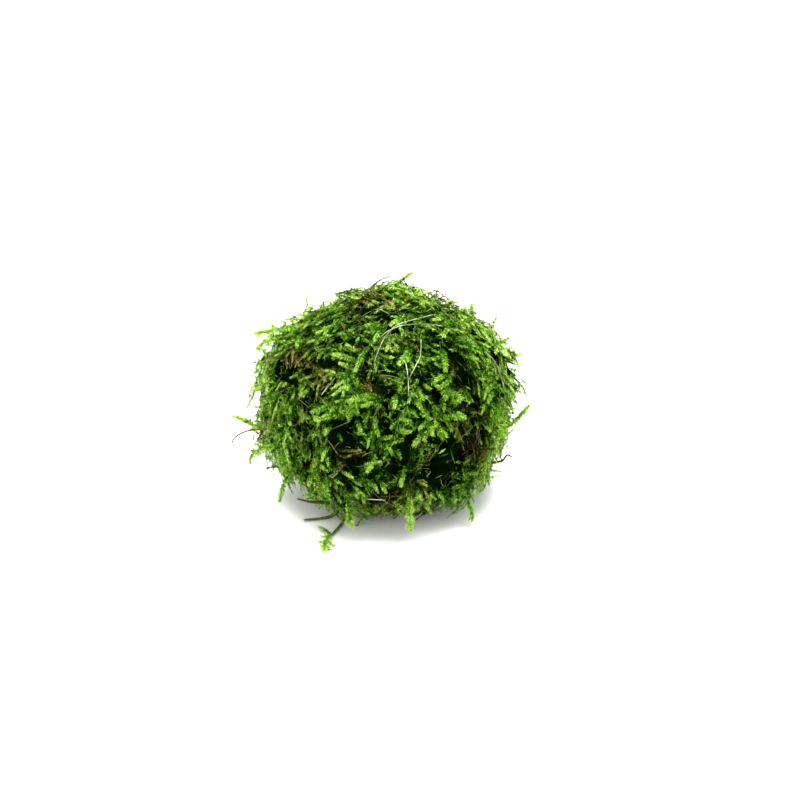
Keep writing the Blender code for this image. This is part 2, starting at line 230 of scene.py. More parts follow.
@dataclass(frozen=True)
class BedFinish:
    """Packed old moss: a felt of dead stems, painted near black for its own dark colour and the shade between
    the fronds.
    """

    name: str = "old_moss_felt_and_painted_shade"
    tones: Stops = ((0.0, "#000200"), (0.45, "#020c01"), (0.7, "#051802"), (1.0, "#0d1f07"))
    fibre_mm: float = 0.5
    fibre_twist: float = 1.5
    clump_mm: float = 4.0
    contrast: Span = (0.1, 0.5)
    relief: float = 0.8
    relief_mm: float = 0.3
    roughness: float = 0.95
    gloss: float = 0.0

    def build(self) -> Material:
        """Builds the felt's material from two sizes of noise, with a bump for its fibres.

        Returns:
            The material.
        """
        material, tree = blank_material(self.name)
        place = add_node(tree, "ShaderNodeTexCoord").outputs["Object"]
        fibres = add_node(tree, "ShaderNodeTexNoise", {
            "Vector": place, "Scale": 1.0 / (self.fibre_mm * MM), "Detail": 4.0,
            "Distortion": self.fibre_twist})
        clumps = add_node(tree, "ShaderNodeTexNoise", {
            "Vector": place, "Scale": 1.0 / (self.clump_mm * MM), "Detail": 2.0})
        both = add_node(tree, "ShaderNodeMath", {0: fibres.outputs["Fac"], 1: clumps.outputs["Fac"]},
                        operation="MULTIPLY")
        spread = add_node(tree, "ShaderNodeMapRange", {
            "Value": both.outputs[0], "From Min": self.contrast[0], "From Max": self.contrast[1]})
        colour = add_node(tree, "ShaderNodeValToRGB", {"Fac": spread.outputs["Result"]})
        fill_ramp(colour, self.tones)
        bump = add_node(tree, "ShaderNodeBump", {
            "Height": fibres.outputs["Fac"], "Strength": self.relief, "Distance": self.relief_mm * MM})
        surface = add_node(tree, "ShaderNodeBsdfPrincipled", {
            "Base Color": colour.outputs["Color"], "Roughness": self.roughness,
            "Specular IOR Level": self.gloss,
            "Normal": bump.outputs["Normal"]})
        add_node(tree, "ShaderNodeOutputMaterial", {"Surface": surface.outputs[0]})
        return material


@dataclass(frozen=True)
class ThreadFinish:
    """Nylon sewing thread: a pale, faintly glossy filament, dulled in places by damp and green dust."""

    name: str = "nylon_thread"
    tones: Stops = ((0.32, "#3f4d26"), (0.48, "#7d8a62"), (0.62, "#b9bfaa"))
    stain_mm: float = 3.0
    roughness: float = 0.34
    refraction: float = 1.53

    def build(self) -> Material:
        """Builds the thread's material, pale with stains along its run.

        Returns:
            The material.
        """
        material, tree = blank_material(self.name)
        place = add_node(tree, "ShaderNodeTexCoord").outputs["Object"]
        stain = add_node(tree, "ShaderNodeTexNoise", {
            "Vector": place, "Scale": 1.0 / (self.stain_mm * MM), "Detail": 3.0})
        colour = add_node(tree, "ShaderNodeValToRGB", {"Fac": stain.outputs["Fac"]})
        fill_ramp(colour, self.tones)
        surface = add_node(tree, "ShaderNodeBsdfPrincipled", {
            "Base Color": colour.outputs["Color"], "Roughness": self.roughness, "IOR": self.refraction})
        add_node(tree, "ShaderNodeOutputMaterial", {"Surface": surface.outputs[0]})
        return material


@dataclass(frozen=True)
class FloorFinish:
    """Studio board: smooth matt white card."""

    name: str = "white_studio_board"
    white: str = "#f6f6f4"
    roughness: Span = (0.85, 1.0)
    grain_mm: float = 1.5

    def build(self) -> Material:
        """Builds the board's material, with a faint grain in its roughness.

        Returns:
            The material.
        """
        material, tree = blank_material(self.name)
        place = add_node(tree, "ShaderNodeTexCoord").outputs["Object"]
        grain = add_node(tree, "ShaderNodeTexNoise", {"Vector": place, "Scale": 1.0 / (self.grain_mm * MM)})
        rough = add_node(tree, "ShaderNodeMapRange", {
            "Value": grain.outputs["Fac"], "To Min": self.roughness[0], "To Max": self.roughness[1]})
        surface = add_node(tree, "ShaderNodeBsdfPrincipled", {
            "Base Color": linear(self.white), "Roughness": rough.outputs["Result"]})
        add_node(tree, "ShaderNodeOutputMaterial", {"Surface": surface.outputs[0]})
        return material


@dataclass(frozen=True)
class Studio:
    """The camera of the photograph, a white board and soft light from above and around."""

    elevation: float = 25.0
    lens_mm: float = 100.0
    sensor_mm: float = 36.0
    distance: float = 0.5208
    aim: tuple[float, float, float] = (0.00352, -0.0002, 0.02438)
    picture: int = 800
    board_size: float = 6.0
    sky_strength: float = 1.2
    overhead_power: float = 15.0
    overhead_size: float = 0.55
    overhead_place: tuple[float, float, float] = (0.0, 0.06, 0.62)
    front_power: float = 1.2
    front_size: float = 0.45
    front_place: tuple[float, float, float] = (-0.25, -0.62, 0.36)

    def axes(self) -> tuple[Vector, Vector, Vector]:
        """Gives the camera's directions.

        Returns:
            Unit vectors to its right, up and forward.
        """
        tilt = math.radians(self.elevation)
        forward = Vector((0.0, math.cos(tilt), -math.sin(tilt)))
        return Vector((1.0, 0.0, 0.0)), Vector((0.0, math.sin(tilt), math.cos(tilt))), forward

    def place(self) -> Vector:
        """Gives where the camera stands."""
        return Vector(self.aim) - self.axes()[2] * self.distance

    def pixel_size(self) -> float:
        """Gives a pixel's size at the ball, in metres."""
        return self.sensor_mm / self.lens_mm * self.distance / self.picture

    def ray(self, pixel: Pixel) -> Vector:
        """Gives the direction in which the camera sees a pixel of the photograph.

        Args:
            pixel: Its place from the left and from the top.

        Returns:
            A unit vector.
        """
        right, above, forward = self.axes()
        middle = self.picture / 2.0
        across = (pixel[0] - middle) * self.pixel_size()
        height = (middle - pixel[1]) * self.pixel_size()
        return (forward * self.distance + right * across + above * height).normalized()

    def pixel_of(self, point: Vector) -> tuple[float, float, float]:
        """Gives the pixel at which the camera sees a point.

        Args:
            point: The point.

        Returns:
            The pixel's place from the left and from the top, and how far before the camera the point lies.
        """
        right, above, forward = self.axes()
        arm = point - self.place()
        scale = self.distance / arm.dot(forward) / self.pixel_size()
        middle = self.picture / 2.0
        return middle + arm.dot(right) * scale, middle - arm.dot(above) * scale, arm.dot(forward)

    def build(self) -> None:
        """Puts up the camera, the board and the lights."""
        self.build_camera()
        self.build_board()
        self.build_light("overhead_softbox", self.overhead_place, self.overhead_power, self.overhead_size)
        self.build_light("front_softbox", self.front_place, self.front_power, self.front_size)
        world = bpy.data.worlds.new("white_room")
        world.use_nodes = True
        background = world.node_tree.nodes["Background"]
        background.inputs["Color"].default_value = (1.0, 1.0, 1.0, 1.0)
        background.inputs["Strength"].default_value = self.sky_strength
        bpy.context.scene.world = world
        bpy.context.scene.view_settings.view_transform = "Standard"

    def build_camera(self) -> None:
        """Makes the scene's camera."""
        data = bpy.data.cameras.new("photo_camera")
        data.lens = self.lens_mm
        data.sensor_width = self.sensor_mm
        data.clip_start = 0.01
        camera = bpy.data.objects.new("photo_camera", data)
        camera.location = self.place()
        camera.rotation_mode = "QUATERNION"
        camera.rotation_quaternion = self.axes()[2].to_track_quat("-Z", "Y")
        bpy.context.scene.collection.objects.link(camera)
        bpy.context.scene.camera = camera

    def build_board(self) -> None:
        """Lays the white board that the ball stands on."""
        bm = bmesh.new()
        bmesh.ops.create_grid(bm, x_segments=2, y_segments=2, size=self.board_size / 2.0)
        mesh = bpy.data.meshes.new("studio_board")
        bm.to_mesh(mesh)
        bm.free()
        mesh.materials.append(FloorFinish().build())
        board = bpy.data.objects.new("studio_board", mesh)
        bpy.context.scene.collection.objects.link(board)

    def build_light(self, name: str, place: tuple[float, float, float], power: float, size: float) -> None:
        """Hangs a square softbox that faces the ball.

        Args:
            name: The light's name.
            place: Where it hangs.
            power: Its power in watts.
            size: Its side in metres.
        """
        data = bpy.data.lights.new(name, "AREA")
        data.energy = power
        data.size = size
        lamp = bpy.data.objects.new(name, data)
        lamp.location = place
        lamp.rotation_mode = "QUATERNION"
        lamp.rotation_quaternion = (Vector(self.aim) - Vector(place)).to_track_quat("-Z", "Y")
        bpy.context.scene.collection.objects.link(lamp)


@dataclass(frozen=True)
class Swell:
    """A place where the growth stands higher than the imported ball, or lower, at a pixel of the photograph."""

    pixel: Pixel
    height_mm: float
    width: float = 0.17


SWELLS = (
    Swell((393, 281), 2.6, 0.22), Swell((268, 327), 1.6), Swell((290, 313), 1.8), Swell((315, 305), 1.2),
    Swell((335, 300), 0.8), Swell((432, 294), 1.4), Swell((450, 299), 1.6), Swell((466, 309), 1.6),
    Swell((488, 331), 1.6), Swell((508, 349), 1.4), Swell((515, 385), 2.2, 0.2), Swell((512, 405), 1.6),
    Swell((505, 430), 2.0), Swell((487, 473), 2.0, 0.14), Swell((474, 494), 1.6, 0.14),
    Swell((257, 437), 2.4, 0.15), Swell((260, 412), 1.2), Swell((262, 464), 2.0, 0.14),
    Swell((262, 360), 1.5), Swell((260, 382), 1.2), Swell((299, 486), -2.6, 0.11),
    Swell((366, 516), -2.2, 0.17), Swell((388, 519), -2.9, 0.19), Swell((412, 519), -2.9, 0.19),
    Swell((434, 517), -2.4, 0.17),
)


@dataclass
class MossSurface:
    """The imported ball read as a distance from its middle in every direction, evened out, with its swells."""

    node: Object
    studio: Studio
    middle: Vector = field(default_factory=lambda: Vector((0.0, 0.0, 0.024)))
    readings: int = 5200
    blend: int = 9
    nearest: int = 4
    softening: float = 0.004
    far: float = 0.06
    stride: float = 0.25 * MM
    table_step: int = 3

    def __post_init__(self) -> None:
        """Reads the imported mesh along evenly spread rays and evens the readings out."""
        bm = bmesh.new()
        bm.from_mesh(self.node.data)
        tree = BVHTree.FromBMesh(bm)
        bm.free()
        ways = list(even_directions(self.readings))
        raw = [tree.ray_cast(self.middle, way)[3] for way in ways]
        self.index = KDTree(len(ways))
        for number, way in enumerate(ways):
            self.index.insert(way, number)
        self.index.balance()
        self.depths = []
        for way in ways:
            near = self.index.find_n(way, self.blend)
            self.depths.append(sum(raw[number] for _, number, _ in near) / len(near))
        places = [self.way_to(self.seen_at(swell.pixel, 0.0)) for swell in SWELLS]
        for number, way in enumerate(ways):
            gaps = [(way - place).length / swell.width for place, swell in zip(places, SWELLS)]
            rises = [swell.height_mm * MM * math.exp(-gap * gap) for gap, swell in zip(gaps, SWELLS)]
            self.depths[number] += max(0.0, *rises) + min(0.0, *rises)
        rises = range(-90, 91, self.table_step)
        self.table = np.array([[self.reach(direction(across, rise)) for rise in rises]
                               for across in range(0, 361, self.table_step)])

    def reach(self, way: Vector) -> float:
        """Gives how far the moss reaches in a direction.

        Args:
            way: A unit vector from the ball's middle.

        Returns:
            The distance from the middle.
        """
        near = self.index.find_n(way, self.nearest)
        weights = [1.0 / (gap + self.softening) for _, _, gap in near]
        total = sum(weight * self.depths[number] for weight, (_, number, _) in zip(weights, near))
        return total / sum(weights)

    def way_to(self, point: Vector) -> Vector:
        """Gives the unit vector from the ball's middle to a point."""
        return (point - self.middle).normalized()

    def height(self, point: Vector) -> float:
        """Gives how far a point stands above the moss, negative inside it."""
        return (point - self.middle).length - self.reach(self.way_to(point))

    def heights(self, points: np.ndarray) -> np.ndarray:
        """Gives how far each of many points stands above the moss.

        Args:
            points: The points, with their three coordinates on the last axis.

        Returns:
            The heights, negative inside the moss.
        """
        arms = points - np.array(self.middle[:])
        far = np.linalg.norm(arms, axis=-1)
        across = np.degrees(np.arctan2(arms[..., 0], -arms[..., 1])) % 360.0 / self.table_step
        rise = (np.degrees(np.arcsin(np.clip(arms[..., 2] / far, -1.0, 1.0))) + 90.0) / self.table_step
        column = np.minimum(across.astype(int), self.table.shape[0] - 2)
        row = np.minimum(rise.astype(int), self.table.shape[1] - 2)
        aside, above = across - column, rise - row
        left = self.table[column, row] * (1.0 - above) + self.table[column, row + 1] * above
        right = self.table[column + 1, row] * (1.0 - above) + self.table[column + 1, row + 1] * above
        return far - (left * (1.0 - aside) + right * aside)

    def at(self, way: Vector, height: float) -> Vector:
        """Gives the point at a height over the moss along a unit vector."""
        return self.middle + way * (self.reach(way) + height)

    def facing(self, way: Vector, point: Vector) -> float:
        """Says how squarely a unit vector out of the ball points at the camera from a point, from 1 to -1."""
        return way.dot((self.studio.place() - point).normalized())

    def seen_at(self, pixel: Pixel, height: float) -> Vector:
        """Finds the point over the moss that the camera sees at a pixel.

        Args:
            pixel: A pixel of the photograph.
            height: How far over the moss the point lies.

        Returns:
            The point, or the ray's nearest point to the moss where the ray passes it by.
        """
        start, ray = self.studio.place(), self.studio.ray(pixel)
        travel = (self.middle - start).dot(ray) - self.far
        closest, best = start, math.inf
        for _ in range(int(2.0 * self.far / self.stride)):
            point = start + ray * travel
            over = self.height(point) - height
            if over <= 0.0:
                return point
            if over < best:
                closest, best = point, over
            travel += self.stride
        return closest - self.way_to(closest) * best


def even_directions(count: int) -> Iterator[Vector]:
    """Gives unit vectors spread evenly round the ball along a spiral.

    Args:
        count: How many.

    Yields:
        The unit vectors, from the top down.
    """
    golden = math.pi * (3.0 - math.sqrt(5.0))
    for number in range(count):
        height = 1.0 - 2.0 * (number + 0.5) / count
        level = math.sqrt(1.0 - height * height)
        yield Vector((math.cos(number * golden) * level, math.sin(number * golden) * level, height))


def direction(azimuth: float, elevation: float) -> Vector:
    """Gives the unit vector for an azimuth from the front and an elevation, in degrees."""
    across, rise = math.radians(azimuth), math.radians(elevation)
    return Vector((math.sin(across) * math.cos(rise), -math.cos(across) * math.cos(rise), math.sin(rise)))


def square_to(wish: Vector, axis: Vector) -> Vector:
    """Gives the unit vector square to an axis that lies nearest to a wished direction."""
    return (wish - axis * wish.dot(axis)).normalized()


def turned(degrees: float, axis: str) -> Matrix:
    """Gives a turn about one of the axes."""
    return Matrix.Rotation(math.radians(degrees), 4, axis)


def pixels_of(run: Run) -> list[Pixel]:
    """Pairs up a run of pixels that is written as across and down by turns."""
    return list(zip(run[::2], run[1::2]))


@dataclass(frozen=True)
class SprigForm:
    """The size and habit of one leafy branchlet, in metres and degrees."""

    length: float
    leaf_gap: float = 0.135 * MM
    leaf_length: float = 0.82 * MM
    leaf_width: float = 0.21 * MM
    spread: float = 50.0
    crest_every: int = 3
    stem_width: float = 0.08 * MM
    ends: bool = True
    tip_fan: tuple[float, ...] = (-42.0, 4.0, 38.0)
    tip_back: float = 0.35 * MM
    tip_size: float = 0.94
    stem_cuts: int = 1
    stem_taper: float = 0.6
    taper: float = 0.22
    closing: float = 0.2
    leaf_sizes: Span = (0.84, 1.12)
    leaf_swings: Span = (-8.0, 8.0)
    leaf_lifts: Span = (-16.0, 20.0)
    leaf_rolls: Span = (-35.0, 20.0)
    crest_swings: Span = (-28.0, 28.0)
    crest_lifts: Span = (18.0, 42.0)
    crest_size: float = 0.85
    widest_at: float = 0.27
    cupping: float = 0.3
    droop: float = 0.1


class Sprig:
    """A leafy branchlet along +X in the XY plane, kept as arrays from which many copies are joined."""

    def __init__(self, form: SprigForm, seed: int) -> None:
        """Builds the branchlet's stem and leaves.

        Args:
            form: Its size and habit.
            seed: Makes each variant its own.
        """
        self.form = form
        self.rng = Random(seed)
        self.bm = bmesh.new()
        self.along = self.bm.verts.layers.float.new("along")
        self.outer = self.bm.verts.layers.float.new("outer")
        self.part = self.bm.verts.layers.int.new("part")
        self.across = self.bm.verts.layers.float.new("across")
        self.parts = 0
        self.add_stem()
        self.add_leaves()
        self.keep_arrays()
        self.bm.free()

    def add_stem(self) -> None:
        """Draws the thin three-sided stem."""
        form = self.form
        place = turned(90.0, "Y") @ Matrix.Translation((0.0, 0.0, form.length / 2.0))
        bmesh.ops.create_cone(self.bm, cap_ends=True, segments=3, radius1=form.stem_width,
                              radius2=form.stem_width * form.stem_taper, depth=form.length, matrix=place)
        sides = [edge for edge in self.bm.edges
                 if abs((edge.verts[0].co - edge.verts[1].co).x) > form.length / 2.0]
        bmesh.ops.subdivide_edges(self.bm, edges=sides, cuts=form.stem_cuts)
        for vert in self.bm.verts:
            vert[self.along] = vert.co.x / form.length
            vert[self.outer] = vert.co.x / form.length
            vert[self.across] = 0.5 + 0.4 * vert.co.y / form.stem_width
            vert[self.part] = 0
        self.parts = 1

    def add_leaves(self) -> None:
        """Sets leaves in two side rows and a sparser upper and lower row, smaller towards the tip."""
        form, rng = self.form, self.rng
        count = int(form.length / form.leaf_gap)
        for number in range(count):
            share = (number + 0.5) / count
            side = -1.0 if number % 2 else 1.0
            size = (1.0 - form.taper * share ** 3 if form.ends else 1.0) * rng.uniform(*form.leaf_sizes)
            angle = form.spread * (1.0 - (form.closing * share * share if form.ends else 0.0))
            angle += rng.uniform(*form.leaf_swings)
            turn = (turned(side * angle, "Z") @ turned(rng.uniform(*form.leaf_lifts), "Y").inverted()
                    @ turned(side * rng.uniform(*form.leaf_rolls), "X"))
            self.add_leaf(share * form.length, share, turn, size)
            if number % form.crest_every == 0:
                self.add_crest_leaf(share, size)
        if form.ends:
            for angle in form.tip_fan:
                self.add_leaf(form.length - form.tip_back, 1.0, turned(angle, "Z"),
                              form.tip_size - form.taper)

    def add_crest_leaf(self, share: float, size: float) -> None:
        """Sets a leaf that lies along the stem's upper or lower side.

        Args:
            share: Its place along the stem.
            size: Its size beside a full leaf's.
        """
        form, rng = self.form, self.rng
        turn = (turned(rng.choice((0.0, 180.0)), "X") @ turned(rng.uniform(*form.crest_swings), "Z")
                @ turned(-rng.uniform(*form.crest_lifts), "Y"))
        self.add_leaf(share * form.length, share, turn, size * form.crest_size)

    def add_leaf(self, foot: float, share: float, turn: Matrix, size: float) -> None:
        """Adds one pointed leaf blade of two faces, folded along its keel.

        Args:
            foot: How far along the stem it grows.
            share: The same as a share of the stem.
            turn: Its turn about its foot.
            size: Its size beside a full leaf's.
        """
        form = self.form
        ring = bmesh.ops.create_circle(self.bm, cap_ends=True, segments=4, radius=1.0)["verts"]
        for vert in ring:
            vert.co.x, vert.co.y = round(vert.co.x), round(vert.co.y)
        bmesh.ops.connect_verts(self.bm, verts=[vert for vert in ring if abs(vert.co.y) < 0.5])
        long, wide = form.leaf_length * size, form.leaf_width * size
        for vert in ring:
            out = vert.co.y
            fore = form.widest_at if abs(out) > 0.5 else (vert.co.x + 1.0) / 2.0
            vert[self.along] = share
            vert[self.outer] = fore
            vert[self.across] = 0.5 + out * 0.5
            vert[self.part] = self.parts
            rise = abs(out) * wide * form.cupping - fore * fore * long * form.droop
            vert.co = Vector((fore * long, out * wide / 2.0, rise))
        bmesh.ops.transform(self.bm, matrix=Matrix.Translation((foot, 0.0, 0.0)) @ turn, verts=ring)
        self.parts += 1

    def keep_arrays(self) -> None:
        """Keeps the branchlet's points, faces and what each point carries as arrays."""
        self.bm.verts.index_update()
        verts = list(self.bm.verts)
        self.points = np.array([vert.co[:] for vert in verts])
        self.leaf_of = np.array([vert[self.part] for vert in verts])
        self.carried = np.array([(vert[self.along], vert[self.outer]) for vert in verts])
        self.cell = np.array([(vert[self.outer], vert[self.across]) for vert in verts])
        faces = [[vert.index for vert in face.verts] for face in self.bm.faces]
        self.corners = np.array([corner for face in faces for corner in face])
        self.sides = np.array([len(face) for face in faces])
        self.slots = np.array([int(self.leaf_of[face[0]] == 0) for face in faces])
        self.triangles = int((self.sides - 2).sum())


class Display:
    """What the photograph shows in front of the rest, which nothing else may cover."""

    slack: float = 0.3 * MM
    outline: float = 0.3
    # Growth at about the same depth close round something on display gets a painted shadow: its tint is
    # darkened, most right beside it.
    painted_shadow_rim: float = 3.5
    widest_room: float = 6.0
    painted_shadow_depth: float = 5.0 * MM
    painted_shade: float = 0.14

    def __init__(self, surface: MossSurface) -> None:
        """Starts with nothing on display.

        Args:
            surface: The ball.
        """
        self.surface = surface
        self.marks: list[tuple[Vector, float, float]] = []
        self.index = KDTree(1)
        self.index.balance()

    def add(self, points: list[Vector], room: float) -> None:
        """Puts points on display, but for those at the ball's outline, where growth is seen from the side.

        Args:
            points: The points.
            room: How many pixels round each stay free.
        """
        for point in points:
            if self.surface.facing(self.surface.way_to(point), point) < self.outline:
                continue
            across, down, far = self.surface.studio.pixel_of(point)
            self.marks.append((Vector((across, down, 0.0)), far, room))
        self.index = KDTree(len(self.marks))
        for number, (place, _, _) in enumerate(self.marks):
            self.index.insert(place, number)
        self.index.balance()

    def crowd(self, point: Vector) -> tuple[bool, float]:
        """Compares growth at a point with what is on display.

        Args:
            point: The growth's place.

        Returns:
            Whether it would cover something, and from 0 to 1 how closely it stands round something.
        """
        across, down, far = self.surface.studio.pixel_of(point)
        close = 0.0
        for _, number, gap in self.index.find_range((across, down, 0.0), self.painted_shadow_rim + self.widest_room):
            _, depth, room = self.marks[number]
            if gap < room and far < depth + self.slack:
                return True, 1.0
            if abs(far - depth) < self.painted_shadow_depth:
                close = max(close, 1.0 - max(0.0, gap - room) / self.painted_shadow_rim)
        return False, close


def carry(mesh: Mesh, label: str, values: np.ndarray) -> None:
    """Gives every point of a mesh a number that its material reads."""
    mesh.attributes.new(label, "FLOAT", "POINT").data.foreach_set("value", values.astype(np.float32))


class Growth:
    """A piece of moss: many branchlets joined in one mesh."""

    tip_lightness: float = 0.16
    leaf_tip_lightness: float = 0.5
    even_at: float = 0.4
    leaf_jitter: float = 0.22
    floor_gap: float = 0.05 * MM
    # Painted shade: from lit_above under the moss's surface down to darkest_below, the tint darkens with depth.
    lit_above: float = 0.5 * MM
    darkest_below: float = 4.0 * MM
    painted_shade: float = 0.13 / MM
    ageing: float = 0.018 / MM
    compared: tuple[float, ...] = (0.2, 0.4, 0.6, 0.8, 1.0)

    def __init__(self, name: str, surface: MossSurface, seed: int, display: Display | None = None) -> None:
        """Starts an empty piece.

        Args:
            name: The piece's name.
            surface: The ball.
            seed: Makes the leaves' small differences its own.
            display: What its branchlets leave in view.
        """
        self.name = name
        self.surface = surface
        self.display = display
        self.rng = np.random.default_rng(seed)
        self.copies: dict[Sprig, list[tuple[float, ...]]] = {}

    def plant(self, sprig: Sprig, root: Vector, run: Vector, face: Vector, bend: Vector, size: float,
              tint: float, age: float, wide: float | None = None) -> None:
        """Sets one branchlet.

        Args:
            sprig: The branchlet.
            root: Where it starts.
            run: The unit vector along which it starts.
            face: The unit vector that its flat side faces, square to run.
            bend: How its run turns for each metre.
            size: Its size beside the branchlet's own.
            tint: From 0, deep green, to 1, lime.
            age: From 0, alive, to 1, brown.
            wide: Its width beside the branchlet's own, the same as size if left out.
        """
        if self.display:
            long = sprig.form.length * size
            crowds = [self.display.crowd(root + run * part + bend * part * part / 2.0)
                      for part in (share * long for share in self.compared)]
            if any(covers for covers, _ in crowds):
                return
            # Painted shadow: growth close round what is on display is darkened.
            tint -= self.display.painted_shade * max(close for _, close in crowds)
        size_across = size if wide is None else wide
        self.copies.setdefault(sprig, []).append((*root, *run, *face, *bend, size, size_across, tint, age))

    def triangles(self) -> int:
        """Counts the piece's triangles."""
        return sum(sprig.triangles * len(rows) for sprig, rows in self.copies.items())

    def build(self, materials: list[Material], slot: Slot, nodes: tuple[str, ...]) -> Object:
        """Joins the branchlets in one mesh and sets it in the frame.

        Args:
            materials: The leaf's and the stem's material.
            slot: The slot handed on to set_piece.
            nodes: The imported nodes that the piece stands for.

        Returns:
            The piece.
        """
        joined, count, leaf_count = [], 0, 0
        for sprig, rows in self.copies.items():
            made, shade, age = self.spread(sprig, np.array(rows))
            copy = np.arange(len(rows))[:, None]
            joined.append((made.reshape(-1, 3), shade.ravel(), age.ravel(),
                           (sprig.corners + copy * len(sprig.points) + count).ravel(),
                           np.tile(sprig.sides, len(rows)), np.tile(sprig.slots, len(rows)),
                           np.tile(sprig.cell[sprig.corners], (len(rows), 1)),
                           (sprig.leaf_of[sprig.corners] + copy * sprig.parts + leaf_count).ravel()))
            count += len(rows) * len(sprig.points)
            leaf_count += len(rows) * sprig.parts
        points, tints, ages, corners, sides, slots, cells, leaves = (
            np.concatenate(part) for part in zip(*joined))
        mesh = bpy.data.meshes.new(self.name)
        mesh.vertices.add(count)
        mesh.vertices.foreach_set("co", points.astype(np.float32).ravel())
        mesh.loops.add(len(corners))
        mesh.loops.foreach_set("vertex_index", corners.astype(np.int32))
        mesh.polygons.add(len(sides))
        mesh.polygons.foreach_set("loop_start", (np.cumsum(sides) - sides).astype(np.int32))
        mesh.polygons.foreach_set("material_index", slots.astype(np.int32))
        mesh.polygons.foreach_set("use_smooth", np.ones(len(sides), dtype=bool))
        carry(mesh, "tint", tints)
        carry(mesh, "age", ages)
        self.map_leaves(mesh, cells, leaves, leaf_count)
        mesh.update(calc_edges=True)
        for material in materials:
            mesh.materials.append(material)
        LOG.info("%s: %d branchlets, %d triangles", self.name, sum(map(len, self.copies.values())),
                 self.triangles())
        return set_piece(bpy.data.objects.new(self.name, mesh), slot, nodes)

    def spread(self, sprig: Sprig, rows: np.ndarray) -> tuple[np.ndarray, np.ndarray, np.ndarray]:
        """Works out every copy's points, tints and ages.

        Args:
            sprig: The branchlet.
            rows: For each copy its root, run, face and bend, its two sizes, its tint and its age.

        Returns:
            Points for each copy and vertex, and the tint and age of each.
        """
        root, run, face, bend = (rows[:, None, first:first + 3] for first in (0, 3, 6, 9))
        size, wide, tint, age = (column[:, None] for column in rows[:, 12:].T)
        fore = (sprig.points[None, :, 0] * size)[:, :, None]
        side = (sprig.points[None, :, 1] * wide)[:, :, None]
        rise = (sprig.points[None, :, 2] * wide)[:, :, None]
        made = root + run * fore + 0.5 * bend * fore * fore + np.cross(face, run) * side + face * rise
        made[:, :, 2] = np.maximum(made[:, :, 2], self.floor_gap)
        jitter = self.rng.normal(0.0, self.leaf_jitter, (len(rows), sprig.parts))[:, sprig.leaf_of]
        along, outer = sprig.carried[None, :, 0] - self.even_at, sprig.carried[None, :, 1] - self.even_at
        # Painted shade: the tint darkens with depth under the surface; the age also rises with depth, for the
        # older growth inside.
        deep = np.clip(self.lit_above - self.surface.heights(made), 0.0, self.darkest_below)
        shade = tint + jitter + self.tip_lightness * along + self.leaf_tip_lightness * outer
        return made, shade - self.painted_shade * deep, np.clip(age + self.ageing * deep, 0.0, 1.0)

    @staticmethod
    def map_leaves(mesh: Mesh, cell: np.ndarray, leaf: np.ndarray, count: int) -> None:
        """Gives every leaf a small cell of its own on the map that is used for baking.

        Args:
            mesh: The piece's mesh.
            cell: Each corner's place within its leaf's cell.
            leaf: Each corner's leaf number.
            count: The number of leaves.
        """
        across = math.ceil(math.sqrt(count))
        corner = np.stack([leaf % across, leaf // across], axis=1) + 0.1 + 0.8 * cell
        layer = mesh.uv_layers.new(name=BAKE_MAP)
        layer.data.foreach_set("uv", (corner / across).astype(np.float32).ravel())


def set_piece(piece: Object, slot: Slot, nodes: tuple[str, ...] = ()) -> Object:
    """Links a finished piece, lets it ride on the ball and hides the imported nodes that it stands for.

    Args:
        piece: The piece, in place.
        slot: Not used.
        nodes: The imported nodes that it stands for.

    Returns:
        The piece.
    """
    if piece.name not in bpy.context.scene.collection.objects:
        bpy.context.scene.collection.objects.link(piece)
    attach(piece, BODY)
    if nodes:
        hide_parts(*nodes)
    return piece


@dataclass
class SprigBox:
    """The branchlets that fronds are put together from, by length, with a few variants of each."""

    form: SprigForm = SprigForm(1.8 * MM)
    first_seed: int = 0
    lengths: tuple[float, ...] = (1.7 * MM, 2.6 * MM, 3.6 * MM, 4.8 * MM)
    run_length: float = 1.8 * MM
    run_opening: float = 10.0
    thin_form: SprigForm = SprigForm(3.2 * MM, leaf_gap=0.3 * MM, leaf_length=0.9 * MM, crest_every=4)
    bare_form: SprigForm = SprigForm(3.0 * MM, leaf_gap=9.0 * MM, stem_width=0.042 * MM, stem_cuts=4,
                                     ends=False)
    variants: int = 3

    def __post_init__(self) -> None:
        """Builds the branchlets, each from a seed of its own."""
        self.tips = {length: self.make(replace(self.form, length=length), self.first_seed + 10 * place)
                     for place, length in enumerate(self.lengths)}
        opened = self.form.spread + self.run_opening
        self.runs = self.make(replace(self.form, length=self.run_length, spread=opened,
                                      ends=False), self.first_seed + 100)
        self.thin = self.make(self.thin_form, 200)
        self.bare = Sprig(self.bare_form, 300)

    def make(self, form: SprigForm, seed: int) -> list[Sprig]:
        """Builds a few variants of a branchlet."""
        return [Sprig(form, seed + variant) for variant in range(self.variants)]

    def tip(self, length: float, rng: Random) -> tuple[Sprig, float]:
        """Picks the branchlet nearest to a length, and the size that gives it that length."""
        nearest = min(self.lengths, key=lambda known: abs(math.log(known / length)))
        return rng.choice(self.tips[nearest]), length / nearest


class Line:
    """A smooth line through points, read by distance along it."""

    def __init__(self, points: list[Vector]) -> None:
        """Measures the line.

        Args:
            points: Points close enough together to follow it.
        """
        self.points = np.array([point[:] for point in points])
        steps = np.linalg.norm(np.diff(self.points, axis=0), axis=1)
        self.marks = np.concatenate([[0.0], np.cumsum(steps)])
        self.length = float(self.marks[-1])

    def at(self, distance: float) -> Vector:
        """Gives the point at a distance along the line."""
        return Vector([float(np.interp(distance, self.marks, self.points[:, axis])) for axis in range(3)])

    def spaced(self, count: int) -> list[Vector]:
        """Gives points that part the line into stretches of the same length, with both ends."""
        return [self.at(self.length * number / count) for number in range(count + 1)]

    def run(self, distance: float, reach: float = 0.4 * MM) -> Vector:
        """Gives the line's direction at a distance along it."""
        before, after = max(0.0, distance - reach), min(self.length, distance + reach)
        return (self.at(after) - self.at(before)).normalized()


